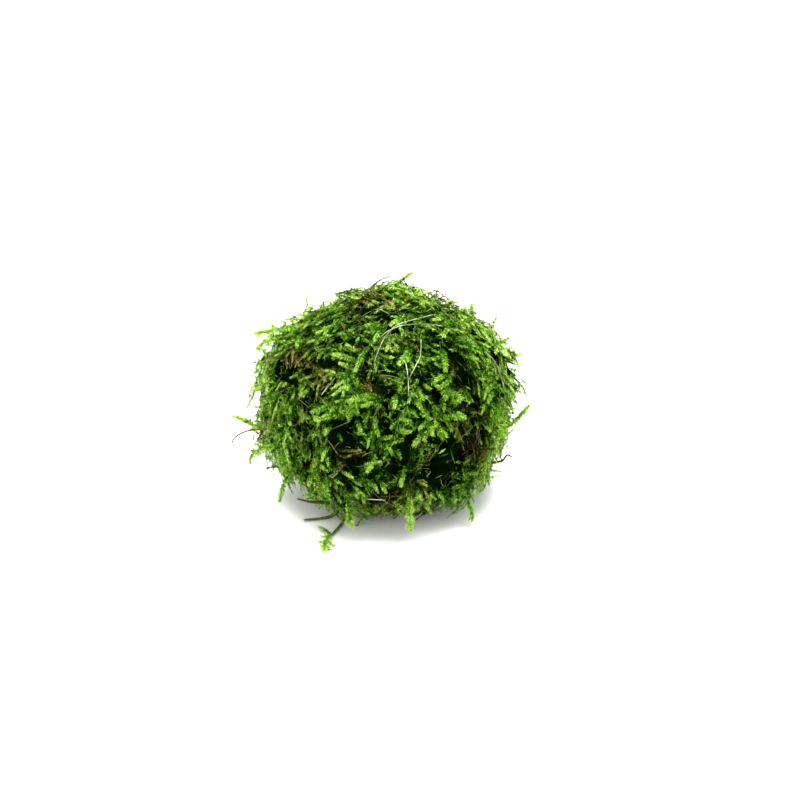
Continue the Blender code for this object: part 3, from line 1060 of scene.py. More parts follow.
@dataclass(frozen=True)
class Habit:
    """How a frond branches, in metres and degrees, with the spans that its branchlets vary in."""

    branch_gap: float = 1.45 * MM
    branch_angle: float = 54.0
    wide: float = 0.95
    longest: float = 3.9 * MM
    shortest: float = 1.4 * MM
    bare_foot: float = 1.0 * MM
    sag: float = 120.0
    tilt: float = 30.0
    last_branch: float = 1.3 * MM
    outline: Span = (0.18, 0.70)
    lengths: Span = (0.75, 1.15)
    angles: Span = (0.82, 1.18)
    sags: Span = (0.3, 1.2)
    cupping: Span = (-20.0, 70.0)
    widths: Span = (0.85, 1.15)
    gaps: Span = (0.8, 1.2)
    tint_rise: float = 0.06
    tint_spread: float = 0.08


class Frond:
    """A flat frond: a leafy stem with leafy branchlets on both sides by turns."""

    tip_length: float = 2.6 * MM
    foot_width: float = 0.8
    foot_tint: float = -0.06
    tip_tint: float = 0.08
    shrinking: float = 0.4
    shortest_stretch: float = 0.5 * MM

    def __init__(self, box: SprigBox, surface: MossSurface, rng: Random) -> None:
        """Takes the branchlets and the ball that fronds lie on.

        Args:
            box: The branchlets.
            surface: The ball.
            rng: Random numbers for all fronds.
        """
        self.box = box
        self.surface = surface
        self.rng = rng

    def dress(self, growth: Growth, line: Line, habit: Habit, tint: float, age: float) -> None:
        """Puts the stem's leaves and the branchlets along a line.

        Args:
            growth: The piece that takes them.
            line: The frond's stem.
            habit: How it branches.
            tint: Its tint at the middle.
            age: Its age.
        """
        rng = self.rng
        roll = math.radians(rng.uniform(-habit.tilt, habit.tilt))
        self.dress_stem(growth, line, roll, tint, age, habit.wide)
        distance = habit.bare_foot + rng.uniform(0.0, habit.branch_gap)
        side = rng.choice((-1.0, 1.0))
        while distance < line.length - habit.last_branch:
            share = distance / line.length
            swell = math.sin(math.pi * (habit.outline[0] + habit.outline[1] * share))
            length = habit.longest * swell * rng.uniform(*habit.lengths)
            run, face = line.run(distance), self.face_at(line, distance, roll)
            angle = math.radians(habit.branch_angle * rng.uniform(*habit.angles)) * side
            heading = run * math.cos(angle) + face.cross(run) * math.sin(angle)
            sprig, size = self.box.tip(max(habit.shortest, length), rng)
            bend = DOWN * habit.sag * rng.uniform(*habit.sags) - face * rng.uniform(*habit.cupping)
            shade = tint + habit.tint_rise * share + rng.gauss(0.0, habit.tint_spread)
            growth.plant(sprig, line.at(distance), heading, face, bend, size, shade, age,
                         habit.wide * rng.uniform(*habit.widths) * (1.0 - self.shrinking * age))
            distance += habit.branch_gap * rng.uniform(*habit.gaps)
            side = -side

    def dress_stem(self, growth: Growth, line: Line, roll: float, tint: float, age: float,
                   wide: float = 1.0, rise: float = 0.0) -> None:
        """Puts leafy stretches along the stem, and a tip on its end.

        Args:
            growth: The piece that takes them.
            line: The frond's stem.
            roll: The frond's turn about its stem.
            tint: Its tint at the middle.
            age: Its age.
            wide: Its width beside a common branchlet's.
            rise: How much the tint rises from its foot to its tip.
        """
        rng, stretch = self.rng, self.box.run_length
        wide *= 1.0 - self.shrinking * age
        tip, size = self.box.tip(min(self.tip_length, line.length), rng)
        end = line.length - tip.form.length * size
        count = max(1, round(end / stretch))
        step = end / count
        for number in range(count):
            distance, share = number * step, (number + 0.5) / count
            run = line.run(distance + 0.1 * step)
            bend = (line.run(distance + 0.9 * step) - run) / max(step, self.shortest_stretch)
            face = self.face_at(line, distance, roll)
            growth.plant(rng.choice(self.box.runs), line.at(distance), run, face, bend, step / stretch,
                         tint + self.foot_tint + rise * (share - 1.0), age,
                         wide * (self.foot_width + (1.0 - self.foot_width) * share))
        run = line.run(end)
        bend = (line.run(line.length) - run) / (line.length - end)
        face = self.face_at(line, end, roll)
        growth.plant(tip, line.at(end), run, face, bend, size, tint + self.tip_tint, age, wide)

    def face_at(self, line: Line, distance: float, roll: float) -> Vector:
        """Gives the direction that the frond's flat side faces.

        Args:
            line: The frond's stem.
            distance: A distance along it.
            roll: The frond's turn about its stem.

        Returns:
            A unit vector square to the stem.
        """
        run = line.run(distance)
        face = square_to(self.surface.way_to(line.at(distance)), run)
        return (Matrix.Rotation(roll, 3, run) @ face).normalized()


class Look(Enum):
    """How a spot looks: what it does to tint and age, and how many fronds and sprigs grow there."""

    # Painted shade: the first two looks darken the tint of spots where the moss lies in shade, besides thinning
    # the growth there.
    SHADED_HOLLOW = (-0.24, 0.15, 0.12, 0.25)
    DEEP_SHADE = (-0.16, 0.0, 0.8, 0.9)
    LIME = (0.16, -0.1, 1.0, 1.0)
    BROWN = (-0.04, 0.90, 0.35, 1.0)
    OLIVE = (0.0, 0.50, 0.7, 1.0)
    DARK_BROWN = (-0.18, 0.85, 0.25, 0.8)
    SPECKLE = (-0.06, 0.22, 0.25, 1.0)
    OCHRE = (0.16, 0.85, 0.5, 1.0)
    FRESH = (0.12, -0.06, 1.0, 1.0)


# Spots in view, by look: across and down in pixels of the photograph, and the width in millimetres.
FRONT_SPOTS = {
    Look.SHADED_HOLLOW: (
        (340, 430, 2.6), (337, 441, 1.8), (360, 458, 1.7), (444, 466, 2.8), (430, 452, 2.0),
        (458, 458, 1.6), (455, 354, 2.4), (466, 376, 2.2), (438, 392, 2.0), (385, 392, 1.3),
        (385, 420, 1.5), (412, 436, 1.5), (404, 453, 1.7), (437, 480, 1.6), (449, 444, 1.8),
        (314, 331, 2.0), (284, 370, 2.2), (313, 366, 1.6), (365, 367, 1.3), (430, 500, 2.2)),
    Look.DEEP_SHADE: (
        (325, 335, 3.4), (432, 334, 3.0), (300, 392, 3.0), (380, 470, 3.0), (402, 452, 4.0),
        (392, 486, 4.0), (470, 386, 3.4), (447, 360, 2.8), (284, 440, 3.2)),
    Look.LIME: (
        (478, 330, 4.4), (393, 284, 3.4), (300, 320, 4.2), (263, 385, 3.4), (500, 375, 3.4)),
    Look.BROWN: (
        (372, 302, 3.6), (377, 292, 2.6), (330, 388, 2.2), (369, 382, 2.2), (262, 431, 2.6),
        (344, 503, 2.2)),
    Look.OLIVE: (
        (343, 305, 3.1), (383, 376, 2.2), (302, 412, 2.6), (303, 432, 2.4), (476, 420, 2.9),
        (418, 482, 3.1), (440, 299, 3.1), (461, 325, 2.4)),
    Look.DARK_BROWN: (
        (396, 500, 3.6), (412, 504, 3.6), (376, 502, 3.4), (432, 506, 3.1), (465, 428, 4.3),
        (470, 448, 3.1), (410, 470, 2.4)),
    Look.SPECKLE: (
        (348, 328, 4.2), (396, 340, 3.8), (418, 345, 4.2)),
    Look.OCHRE: (
        (387, 302, 3.0), (366, 308, 2.4), (294, 354, 3.8), (317, 376, 2.8), (344, 456, 2.6)),
    Look.FRESH: (
        (455, 322, 5.0), (405, 318, 5.0), (280, 392, 4.2), (478, 486, 6.0), (296, 470, 4.0)),
}

# Spots that the photograph doesn't show: azimuth and elevation in degrees, and the width in millimetres.
BACK_SPOTS = {
    Look.SHADED_HOLLOW: (
        (168.0, -4.0, 3.4), (222.0, 36.0, 3.0), (136.0, 18.0, 2.8)),
    Look.DEEP_SHADE: (
        (190.0, -28.0, 4.0),),
    Look.LIME: (
        (186.0, 52.0, 4.4), (110.0, 28.0, 4.0), (232.0, 8.0, 4.2)),
    Look.BROWN: (
        (150.0, 42.0, 4.0), (120.0, -6.0, 3.2)),
    Look.OLIVE: (
        (205.0, 12.0, 3.4),),
    Look.DARK_BROWN: (
        (240.0, -12.0, 3.6), (150.0, -30.0, 3.6)),
}


@dataclass
class Tones:
    """The tint, age and closeness of the growth at every place of the ball."""

    surface: MossSurface
    base_tint: float = 0.605
    tint_range: float = 0.24
    tint_width: float = 7.0 * MM
    underside_painted_shade: float = 0.28
    age_width: float = 5.5 * MM
    age_from: float = 0.22
    age_gain: float = 1.6
    age_shift: tuple[float, float, float] = (7.0, 3.0, 5.0)
    spot_reach: float = 2.2

    def __post_init__(self) -> None:
        """Finds where the spots lie on the ball."""
        seen, reach = self.surface.seen_at, self.surface.way_to
        self.spots = [(reach(seen((across, down), 0.0)), width * MM, look.value)
                      for look, spots in FRONT_SPOTS.items() for across, down, width in spots]
        self.spots += [(direction(azimuth, elevation), width * MM, look.value)
                       for look, spots in BACK_SPOTS.items() for azimuth, elevation, width in spots]

    def at(self, way: Vector) -> tuple[float, float, float, float]:
        """Reads the growth along a unit vector.

        Args:
            way: The unit vector from the ball's middle.

        Returns:
            The tint, the age from 0 to 1, and how close the fronds and the sprigs grow.
        """
        radius = self.surface.reach(way)
        point = way * radius
        tint = self.base_tint + noise.noise(point / self.tint_width) * self.tint_range
        # Painted shade: the tint darkens towards the underside.
        tint -= self.underside_painted_shade * max(0.0, -way.z)
        old = noise.noise(point / self.age_width + Vector(self.age_shift))
        age = max(0.0, old - self.age_from) * self.age_gain
        fronds = sprigs = 1.0
        for spot_way, width, (more_tint, more_age, frond_share, sprig_share) in self.spots:
            gap = (way - spot_way).length * radius
            if gap < self.spot_reach * width:
                share = math.exp(-(gap / width) ** 2)
                tint += more_tint * share
                age += more_age * share
                fronds *= 1.0 + (frond_share - 1.0) * share
                sprigs *= 1.0 + (sprig_share - 1.0) * share
        return tint, min(1.0, max(0.0, age)), fronds, sprigs


CROWN_ABOVE = 0.72
UNDERSIDE_BELOW = -0.62


class Side(Enum):
    """The parts of the ball that a piece of fronds covers."""

    CROWN = "crown_fronds"
    FRONT_LEFT = "front_left_fronds"
    FRONT_RIGHT = "front_right_fronds"
    BACK_LEFT = "back_left_fronds"
    BACK_RIGHT = "back_right_fronds"
    UNDERSIDE = "underside_fronds"

    @staticmethod
    def of(way: Vector) -> "Side":
        """Says which part of the ball a direction points to.

        Args:
            way: A unit vector from the ball's middle.

        Returns:
            The part.
        """
        if way.z > CROWN_ABOVE:
            return Side.CROWN
        if way.z < UNDERSIDE_BELOW:
            return Side.UNDERSIDE
        if way.y < 0.0:
            return Side.FRONT_LEFT if way.x < 0.0 else Side.FRONT_RIGHT
        return Side.BACK_LEFT if way.x < 0.0 else Side.BACK_RIGHT


@dataclass(frozen=True)
class Strap:
    """A branchlet that stands out in the photograph: its run in pixels, tint, width, age and added height."""

    run: Run
    tint: float
    wide: float = 1.0
    age: float = 0.0
    lift_mm: float = 0.0


STRAPS = tuple(Strap(*row) for row in (
    # Right of the middle, round the brown patch.
    ((432, 419, 447, 417, 455, 417, 466, 419), 0.86, 1.2), ((449, 412, 456, 413, 464, 417), 0.82),
    ((431, 421, 432, 429, 432, 436), 0.82, 1.1), ((439, 422, 443, 431, 448, 437), 0.86, 1.15),
    ((431, 420, 425, 424, 418, 430), 0.82, 1.1), ((424, 429, 419, 438, 412, 446), 0.82, 1.15),
    ((393, 425, 401, 431, 412, 430), 0.84, 1.15), ((397, 416, 408, 421), 0.8, 1.15, 0.1),
    ((394, 395, 395, 402, 394, 409), 0.9, 1.15), ((412, 400, 418, 404, 423, 413), 0.76),
    ((412, 402, 420, 400, 428, 396), 0.75, 0.8), ((412, 408, 414, 414, 418, 418), 0.7, 0.8),
    ((420, 412, 426, 416, 432, 420), 0.75), ((409, 408, 411, 413), 0.62, 0.7),
    ((447, 404, 454, 402, 461, 403), 0.75), ((440, 401, 446, 407, 445, 412), 0.62, 0.8),
    ((468, 412, 476, 412, 480, 414), 0.75, 0.8, 0.7), ((474, 420, 478, 428), 0.6, 0.8, 0.7),
    ((470, 415, 468, 423), 0.6, 0.7, 0.8),
    # The right edge.
    ((478, 380, 479, 388, 480, 397), 0.8, 1.15), ((478, 379, 485, 379), 0.92, 0.7),
    ((499, 388, 493, 386, 487, 391, 484, 400), 0.87, 1.1), ((497, 391, 491, 396, 488, 405), 0.8),
    ((487, 403, 484, 408, 481, 414), 0.78), ((490, 402, 494, 408), 0.78, 0.8),
    ((507, 386, 511, 392, 514, 399), 0.84), ((493, 430, 498, 434, 505, 437), 0.88, 1.15),
    ((492, 429, 500, 430, 508, 433), 0.84), ((480, 422, 486, 427, 491, 431), 0.85, 1.0, 0.2),
    ((485, 431, 488, 445), 0.68, 1.1, 0.3), ((481, 434, 480, 440, 483, 445), 0.66, 0.8, 0.35),
    # Lower right.
    ((485, 464, 488, 472, 491, 480), 0.92, 1.2), ((481, 472, 474, 483), 0.7, 0.7),
    ((473, 455, 469, 460, 465, 463), 0.66, 1.0, 0.35), ((470, 436, 473, 446, 475, 459), 0.5, 0.6, 0.75),
    ((468, 447, 467, 458), 0.46, 0.6, 0.7), ((461, 440, 464, 450), 0.62, 0.5, 0.7),
    ((450, 446, 452, 455, 455, 462), 0.58, 0.6, 0.5), ((473, 481, 462, 486, 452, 487), 0.6, 1.0, 0.15),
    ((406, 466, 403, 476, 401, 486), 0.84, 1.15), ((417, 481, 427, 486), 0.84, 1.1, 0.35),
    ((415, 482, 421, 480, 427, 484), 0.74, 0.8, 0.4), ((416, 487, 417, 493, 422, 498), 0.78, 1.1),
    ((400, 470, 398, 477, 394, 483, 388, 482), 0.7, 0.55, 0.5), ((392, 474, 396, 478), 0.74, 0.5, 0.4),
    ((414, 477, 414, 470, 419, 465, 423, 471), 0.62, 0.45, 0.8), ((437, 490, 443, 499), 0.72, 1.15),
    ((454, 483, 454, 494, 456, 506), 0.8, 1.2), ((462, 464, 464, 476), 0.64),
    ((461, 463, 457, 462), 0.7, 0.6),
    # Below the middle, and the lower left front.
    ((440, 457, 447, 454), 0.42, 0.9), ((378, 479, 386, 493), 0.78), ((379, 481, 387, 486), 0.7, 0.8),
    ((371, 479, 378, 493), 0.76), ((362, 476, 370, 484, 377, 488), 0.66),
    ((387, 456, 389, 462, 385, 467), 0.56, 0.8), ((380, 438, 386, 438, 393, 436), 0.74),
    ((376, 440, 382, 447), 0.56, 1.1), ((394, 448, 398, 453, 401, 460), 0.52, 1.2),
    ((353, 433, 361, 434, 366, 435), 0.74, 0.8), ((363, 434, 368, 441, 366, 449), 0.8, 1.1),
    ((366, 444, 361, 442), 0.72, 0.8, 0.4), ((372, 450, 375, 458, 371, 467, 366, 472), 0.9, 1.15),
    ((361, 468, 367, 465, 374, 463), 0.74), ((374, 464, 381, 461), 0.9, 0.8),
    ((340, 470, 347, 475, 354, 478), 0.82, 1.15), ((350, 479, 356, 483, 362, 486), 0.7),
    ((350, 483, 356, 489, 364, 495), 0.74), ((362, 488, 364, 503), 0.7),
    ((331, 482, 338, 482, 344, 486), 0.84), ((333, 491, 341, 503), 0.84, 1.1),
    ((337, 502, 341, 509, 342, 517), 0.8, 0.8), ((333, 497, 330, 506), 0.82, 0.8),
    ((346, 497, 346, 505, 344, 512), 0.42, 0.9, 0.9),
    # Upper right.
    ((429, 381, 439, 387), 0.76), ((449, 373, 441, 377, 434, 381), 0.8),
    ((449, 378, 446, 384, 438, 388), 0.74), ((454, 371, 449, 381, 441, 385), 0.74),
    ((465, 386, 470, 389), 0.7, 0.8, 0.45), ((431, 372, 434, 377), 0.62, 0.7),
    ((423, 384, 431, 389), 0.7, 0.8), ((411, 349, 405, 357, 398, 365), 0.92, 1.2),
    ((413, 354, 407, 361), 0.86, 0.8), ((411, 358, 413, 368), 0.62, 0.8),
    ((440, 348, 445, 358, 445, 372), 0.82, 1.2), ((446, 369, 435, 363), 0.76),
    ((451, 342, 459, 345, 468, 348), 0.5, 1.1), ((458, 350, 467, 357, 478, 358), 0.72),
    ((469, 355, 475, 360, 478, 369), 0.8), ((480, 355, 485, 361), 0.76, 0.8),
    ((483, 349, 489, 356), 0.72, 0.8), ((458, 333, 466, 338, 470, 342), 0.72, 0.8),
    ((471, 324, 477, 332, 483, 338), 0.96, 1.1), ((479, 324, 485, 333, 489, 340), 0.96),
    ((487, 327, 493, 334, 495, 343), 0.92), ((476, 340, 484, 344, 490, 347), 0.9, 0.8),
    ((494, 350, 502, 352, 506, 358), 0.86), ((492, 341, 500, 352, 502, 368), 0.88),
    ((498, 356, 500, 364, 499, 372), 0.82, 0.8), ((464, 306, 460, 317), 0.88),
    ((452, 316, 459, 312, 466, 307), 0.82, 0.8), ((448, 302, 460, 307), 0.4, 0.5, 0.8),
    ((456, 325, 462, 328, 468, 331), 0.62, 0.8, 0.4), ((496, 386, 504, 389, 512, 396), 0.84),
    # The crown, with stems that stand up from it.
    ((447, 316, 440, 318, 432, 320), 0.82, 1.1), ((424, 298, 430, 303, 437, 303), 0.86),
    ((424, 307, 434, 304), 0.8, 0.8), ((413, 288, 421, 295), 0.88, 1.1),
    ((409, 299, 419, 302, 430, 303), 0.8), ((392, 315, 400, 309, 409, 305), 0.78),
    ((405, 312, 412, 309, 418, 306), 0.68, 0.8), ((383, 283, 393, 280.5, 402, 279.5), 0.9, 1.0, 0.0, 0.4),
    ((376, 287, 384, 282.5, 391, 279.5), 0.4, 0.6, 0.6, 0.5),
    ((379, 291, 388, 285, 397, 283), 0.92, 1.0, 0.0, 0.2), ((382, 290, 391, 287, 400, 290), 0.9, 1.1),
    ((392, 284, 400, 284, 408, 289), 0.88, 1.0, 0.0, 0.2),
    ((398, 288, 407, 291, 413, 296), 0.82, 1.0, 0.0, 0.4),
    ((373, 291, 366, 293, 360, 297), 0.55, 1.0, 0.55, 0.4),
    ((370, 309, 377, 309, 385, 307), 0.72, 0.8, 0.85), ((382, 304, 387, 301, 393, 305), 0.85, 0.9, 0.75),
    ((352, 304, 345, 309), 0.62, 0.8, 0.85), ((362, 311, 356, 316), 0.58, 0.8, 0.9),
    ((379, 296, 386, 300), 0.72, 0.8, 0.8), ((437, 293, 443, 296, 448, 300), 0.42, 1.0, 0.7, 0.6),
    ((448, 298, 444, 293.5, 449, 292.5), 0.4, 0.7, 0.8, 0.6),
    ((464, 312, 467, 305.5, 464, 303.5), 0.88, 1.0, 0.0, 0.6),
    ((503, 358, 506, 366, 505, 374), 0.88, 1.0, 0.0, 0.4),
    ((505, 374, 510, 380, 513, 386), 0.86, 1.0, 0.0, 0.5),
    # Above the middle.
    ((416, 336, 424, 331), 0.62), ((408, 338, 400, 339, 392, 338), 0.56, 0.7, 0.3),
    ((385, 328, 378, 334, 374, 342), 0.8), ((454, 336, 464, 338), 0.7), ((432, 343, 438, 346), 0.66, 0.8),
    # Left of the middle.
    ((384, 400, 372, 396, 364, 397, 348, 401), 0.84, 1.2), ((383, 404, 372, 403, 362, 407), 0.78),
    ((358, 395, 352, 399, 349, 405), 0.85), ((361, 392, 355, 383), 0.62, 0.8),
    ((380, 413, 386, 415, 391, 419), 0.56, 0.8),
    ((372, 375, 382, 376, 393, 380, 403, 383), 0.75, 0.4, 0.4), ((382, 366, 388, 371, 394, 372), 0.7, 0.8),
    ((366, 360, 371, 364), 0.8, 0.6, 0.4), ((373, 363, 370, 372, 368, 378), 0.6, 0.7, 0.35),
    ((336, 401, 325, 408, 311, 412), 0.74, 1.1), ((338, 405, 330, 411), 0.82, 0.8),
    ((347, 418, 332, 416, 317, 420), 0.82, 1.1), ((330, 411, 322, 417), 0.82, 0.8),
    ((321, 423, 326, 434), 0.76), ((331, 424, 325, 435), 0.74), ((356, 418, 361, 432), 0.84, 1.15),
    # The left and lower left.
    ((284, 419, 291, 424), 0.9), ((282, 432, 274, 438), 0.82), ((280, 440, 269, 449), 0.86, 1.1),
    ((272, 446, 262, 452, 256, 456), 0.84), ((270, 441, 262, 447), 0.86, 0.8),
    ((279, 452, 281, 448), 0.98, 0.5), ((291, 449, 293, 456), 0.86, 0.8),
    ((286, 464, 277, 472), 0.82, 1.1), ((290, 468, 285, 478), 0.76),
    ((307, 467, 300, 480, 296, 485), 0.78, 1.1), ((316, 470, 311, 478, 308, 486), 0.88, 1.1),
    ((318, 464, 324, 469), 0.86, 1.1), ((329, 446, 324, 454, 322, 462), 0.9, 0.75),
    ((326, 454, 328, 466), 0.82), ((327, 436, 325, 444), 0.64, 0.8), ((302, 430, 301, 441), 0.74),
    ((315, 437, 316, 446), 0.64), ((308, 446, 310, 457), 0.6), ((260, 388, 262, 400, 262, 409), 0.86),
    ((276, 387, 286, 384), 0.78), ((284, 389, 274, 395, 264, 402), 0.74), ((295, 389, 292, 399), 0.8),
    ((312, 386, 306, 391, 304, 398), 0.64, 0.8), ((298, 406, 302, 412, 304, 420), 0.8, 1.0, 0.2),
    ((312, 412, 314, 418, 320, 422), 0.86, 0.8), ((304, 425, 311, 434, 312, 442), 0.66, 1.0, 0.35),
    ((336, 450, 348, 451, 361, 450), 0.72, 0.8, 0.8), ((337, 455, 344, 457, 351, 455), 0.66, 1.0, 0.9),
    ((335, 455, 342, 466), 0.6, 1.0, 0.95), ((337, 433, 342, 441), 0.46, 0.8),
    ((256, 424, 262, 432, 265, 441), 0.58, 1.0, 0.9),
    # Between the middle and the upper left.
    ((373, 342, 362, 355, 355, 372), 0.8), ((358, 333, 357, 341), 0.62, 0.8), ((361, 354, 346, 344), 0.86),
    ((357, 361, 344, 357, 333, 354), 0.92, 1.2), ((355, 368, 339, 363), 0.8, 1.1),
    ((356, 375, 340, 375, 326, 370), 0.7), ((362, 381, 367, 386, 371, 391), 0.6, 0.9, 0.95),
    ((383, 355, 393, 358), 0.84),
    # Upper left.
    ((320, 312, 308, 316, 299, 318), 0.94, 0.8), ((302, 317, 291, 325), 0.96),
    ((312, 318, 303, 328), 0.94), ((325, 318, 316, 325), 0.9, 0.8),
    ((300, 329, 292, 333, 284, 337), 0.8, 0.8), ((305, 330, 298, 338, 297, 348), 0.72),
    ((290, 327, 279, 329, 268, 331), 0.84, 0.8), ((287, 334, 275, 336, 264, 339), 0.88),
    ((285, 322, 278, 325, 268, 327), 0.78, 0.6), ((261, 343, 263, 350, 267, 356), 0.8, 0.7),
    ((268, 360, 264, 370, 263, 380), 0.86), ((258, 372, 260, 381, 259, 391), 0.84, 1.0, 0.0, 0.3),
    ((262, 362, 268, 355, 275, 350), 0.76, 1.0, 0.0, 0.2), ((282, 381, 276, 390), 0.88),
    ((345, 297.5, 351, 296, 358, 299), 0.94), ((359, 322, 350, 331), 0.54),
    ((340, 325, 333, 332), 0.62, 0.8), ((330, 348, 322, 352, 318, 360), 0.62, 0.8, 0.35),
    ((336, 336, 330, 342), 0.6, 0.8, 0.4), ((312, 347, 304, 357), 0.72, 1.0, 0.5),
    ((300, 372, 290, 378), 0.56, 0.8), ((311, 363, 318, 371, 326, 381), 0.72, 1.0, 0.75),
    ((318, 366, 324, 372), 0.6, 0.8, 0.9), ((294, 345, 286, 357), 0.76, 1.0, 0.45),
    ((308, 352, 300, 360, 295, 367), 0.66, 0.8, 0.8), ((367, 374, 371, 390), 0.56, 1.0, 0.95),
    # Brown branchlets on the left and on the crown.
    ((289, 343, 293, 352, 291, 363), 0.82, 1.0, 0.8), ((301, 341, 293, 346, 284, 349), 0.76, 0.9, 0.9),
    ((283, 354, 287, 361, 286, 369), 0.72, 0.8, 0.75), ((299, 350, 296, 358, 300, 366), 0.66, 0.8, 0.9),
    ((357, 300, 365, 302, 373, 306), 0.78, 1.0, 0.8), ((393, 297, 387, 303, 379, 310), 0.74, 0.9, 0.9),
    ((300, 402, 303, 411, 301, 421), 0.72, 0.8, 0.6), ((309, 404, 306, 413, 308, 422), 0.68, 0.8, 0.5),
))


# Dark openings between the fronds: pixels of the photograph along each, and its half width in pixels.
HOLES = (
    ((431, 440, 437, 441, 444, 444), 2.4), ((427, 452, 433, 452, 437, 456), 2.4),
    ((432, 462, 440, 467, 450, 469, 457, 468), 3.2), ((456, 444, 457, 452, 456, 458), 2.5),
    ((432, 472, 433, 480, 431, 487), 2.4), ((442, 477, 447, 479), 2.5),
    ((403, 444, 405, 451, 404, 458), 2.5), ((340, 423, 334, 430, 333, 440), 3.2),
    ((344, 426, 345, 434, 343, 443), 3.4), ((351, 464, 358, 463, 364, 455), 3.4),
    ((343, 476, 348, 482), 2.5), ((301, 464, 307, 464), 2.0), ((384, 421, 386, 430), 2.5),
    ((410, 434, 414, 438), 2.0), ((393, 462, 394, 472), 2.5), ((376, 498, 386, 497, 396, 494), 3.2),
    ((404, 497, 412, 503), 2.5), ((452, 352, 457, 356), 2.5), ((463, 374, 467, 378), 2.5),
    ((438, 390, 437, 396), 2.5), ((384, 388, 386, 396), 2.0), ((311, 330, 317, 332), 3.2),
    ((281, 372, 286, 368), 3.0), ((288, 342, 294, 343), 2.0), ((310, 365, 314, 368), 2.0),
    ((326, 361, 336, 366), 1.8), ((362, 367, 367, 368), 1.8), ((428, 499, 435, 501), 2.5),
)


@dataclass(frozen=True)
class Rooting:
    """How many small growths of one kind there are, where they are rooted and how they leave the moss."""

    count: int
    scatter: float
    depths_mm: Span
    downward: float
    rises: Span


@dataclass
class MossCoat:
    """The fronds, short sprigs and old strands that cover the ball."""

    surface: MossSurface
    tones: Tones
    box: SprigBox
    feathers: SprigBox
    display: Display
    seed: int = 5
    reading: float = 0.5 * MM
    hole_depth: float = 2.0 * MM
    hole_margin: float = 1.8
    strap_heights: tuple[float, ...] = (-0.9 * MM, 0.7 * MM, 1.3 * MM, 1.1 * MM)
    strap_covered: float = 0.2
    strap_rise: float = 0.26
    strap_room: float = 3.3
    strap_width: float = 1.14
    strap_dimming: float = 0.14
    strap_jitter: float = 0.18
    strap_edge_lightness: float = 0.46
    strap_tilts: Span = (-22.0, 22.0)
    oldest_feathery: float = 0.5
    thinnest_feathery: float = 0.65
    unseen_straps: int = 330
    unseen_scatter: float = 0.06
    unseen_facing: float = 0.12
    unseen_lowest: float = -0.75
    frond_count: int = 950
    frond_scatter: float = 0.035
    frond_lengths: Span = (5.0 * MM, 9.5 * MM)
    frond_tops: Span = (0.1, 1.5)
    frond_rises: Span = (0.25, 0.9)
    frond_root: float = -1.3 * MM
    frond_foot: float = -1.0 * MM
    frond_downward: float = 1.3
    frond_weight: float = 0.10
    frond_steering: float = 0.16
    step: float = 0.7 * MM
    sprigs: Rooting = Rooting(5200, 0.03, (-2.2, -0.8), 0.9, (0.1, 1.0))
    old_strands: Rooting = Rooting(1700, 0.03, (-3.4, -1.6), 0.2, (0.0, 0.35))
    bare_fibres: Rooting = Rooting(1500, 0.06, (-1.4, 0.5), 0.4, (0.0, 0.3))
    old_painted_shade: float = 0.095 / MM

    def __post_init__(self) -> None:
        """Starts a piece for each side of the ball, and one each for straps, old strands and fibres."""
        self.rng = Random(self.seed)
        self.pieces = {side: Growth(side.value, self.surface, self.seed + number, self.display)
                       for number, side in enumerate(Side)}
        self.bold = Growth("standing_out_fronds", self.surface, self.seed + 22)
        self.bold.leaf_jitter, self.bold.leaf_tip_lightness = self.strap_jitter, self.strap_edge_lightness
        self.old = Growth("old_strands", self.surface, self.seed + 20)
        # Painted shade: old strands darken more steeply with depth.
        self.old.painted_shade = self.old_painted_shade
        self.fibres = Growth("bare_fibres", self.surface, self.seed + 21)
        self.frond = Frond(self.box, self.surface, self.rng)
        self.feather = Frond(self.feathers, self.surface, self.rng)

    def grow(self) -> None:
        """Grows everything, from the inside out, after the branchlets that the rest makes way for."""
        self.keep_holes_open()
        self.grow_straps()
        self.grow_unseen_straps()
        self.grow_old_strands()
        self.grow_fronds()
        self.grow_sprigs()
        self.grow_fibres()

    def keep_holes_open(self) -> None:
        """Puts the bottoms of the dark openings on display, so that nothing grows across them."""
        for run, half_width in HOLES:
            line = Line([self.surface.seen_at(pixel, -self.hole_depth) for pixel in pixels_of(run)])
            reads = max(2, round(line.length / self.reading))
            self.display.add(line.spaced(reads), half_width + self.hole_margin)

    def grow_straps(self) -> None:
        """Grows the branchlets that stand out in the photograph, and notes where they run."""
        knots = range(len(self.strap_heights))
        for strap in STRAPS:
            pixels, points = pixels_of(strap.run), []
            for number, pixel in enumerate(pixels):
                height = float(np.interp(number / (len(pixels) - 1) * knots[-1], knots, self.strap_heights))
                points.append(self.surface.seen_at(pixel, height + strap.lift_mm * MM))
            line = Line(smooth_through(points))
            roll = math.radians(self.rng.uniform(*self.strap_tilts))
            feathery = strap.age < self.oldest_feathery and strap.wide > self.thinnest_feathery
            maker = self.feather if feathery else self.frond
            maker.dress_stem(self.bold, line, roll, strap.tint - self.strap_dimming, strap.age,
                             strap.wide * self.strap_width, self.strap_rise)
            reads = max(3, round(line.length / self.reading))
            open_part = line.spaced(reads)[int(self.strap_covered * reads) + 1:]
            self.display.add(open_part, self.strap_room * strap.wide)

    def grow_unseen_straps(self) -> None:
        """Grows branchlets that stand out in the same way where the photograph doesn't show the ball."""
        rng = self.rng
        for way in self.scattered(self.unseen_straps, self.unseen_scatter):
            seen = self.surface.facing(way, self.surface.at(way, 0.0)) > self.unseen_facing
            if seen or way.z < self.unseen_lowest:
                continue
            tint, age, close, _ = self.tones.at(way)
            if rng.random() > close:
                continue
            line = Line(smooth_through(self.wander(way, rng.uniform(3.5, 6.5) * MM, 0.7, 1.5 * MM)))
            roll = math.radians(rng.uniform(*self.strap_tilts))
            shade = tint + rng.uniform(0.05, 0.3)
            wide = rng.uniform(0.7, 1.1) * self.strap_width
            self.feather.dress_stem(self.bold, line, roll, shade, age, wide, self.strap_rise)

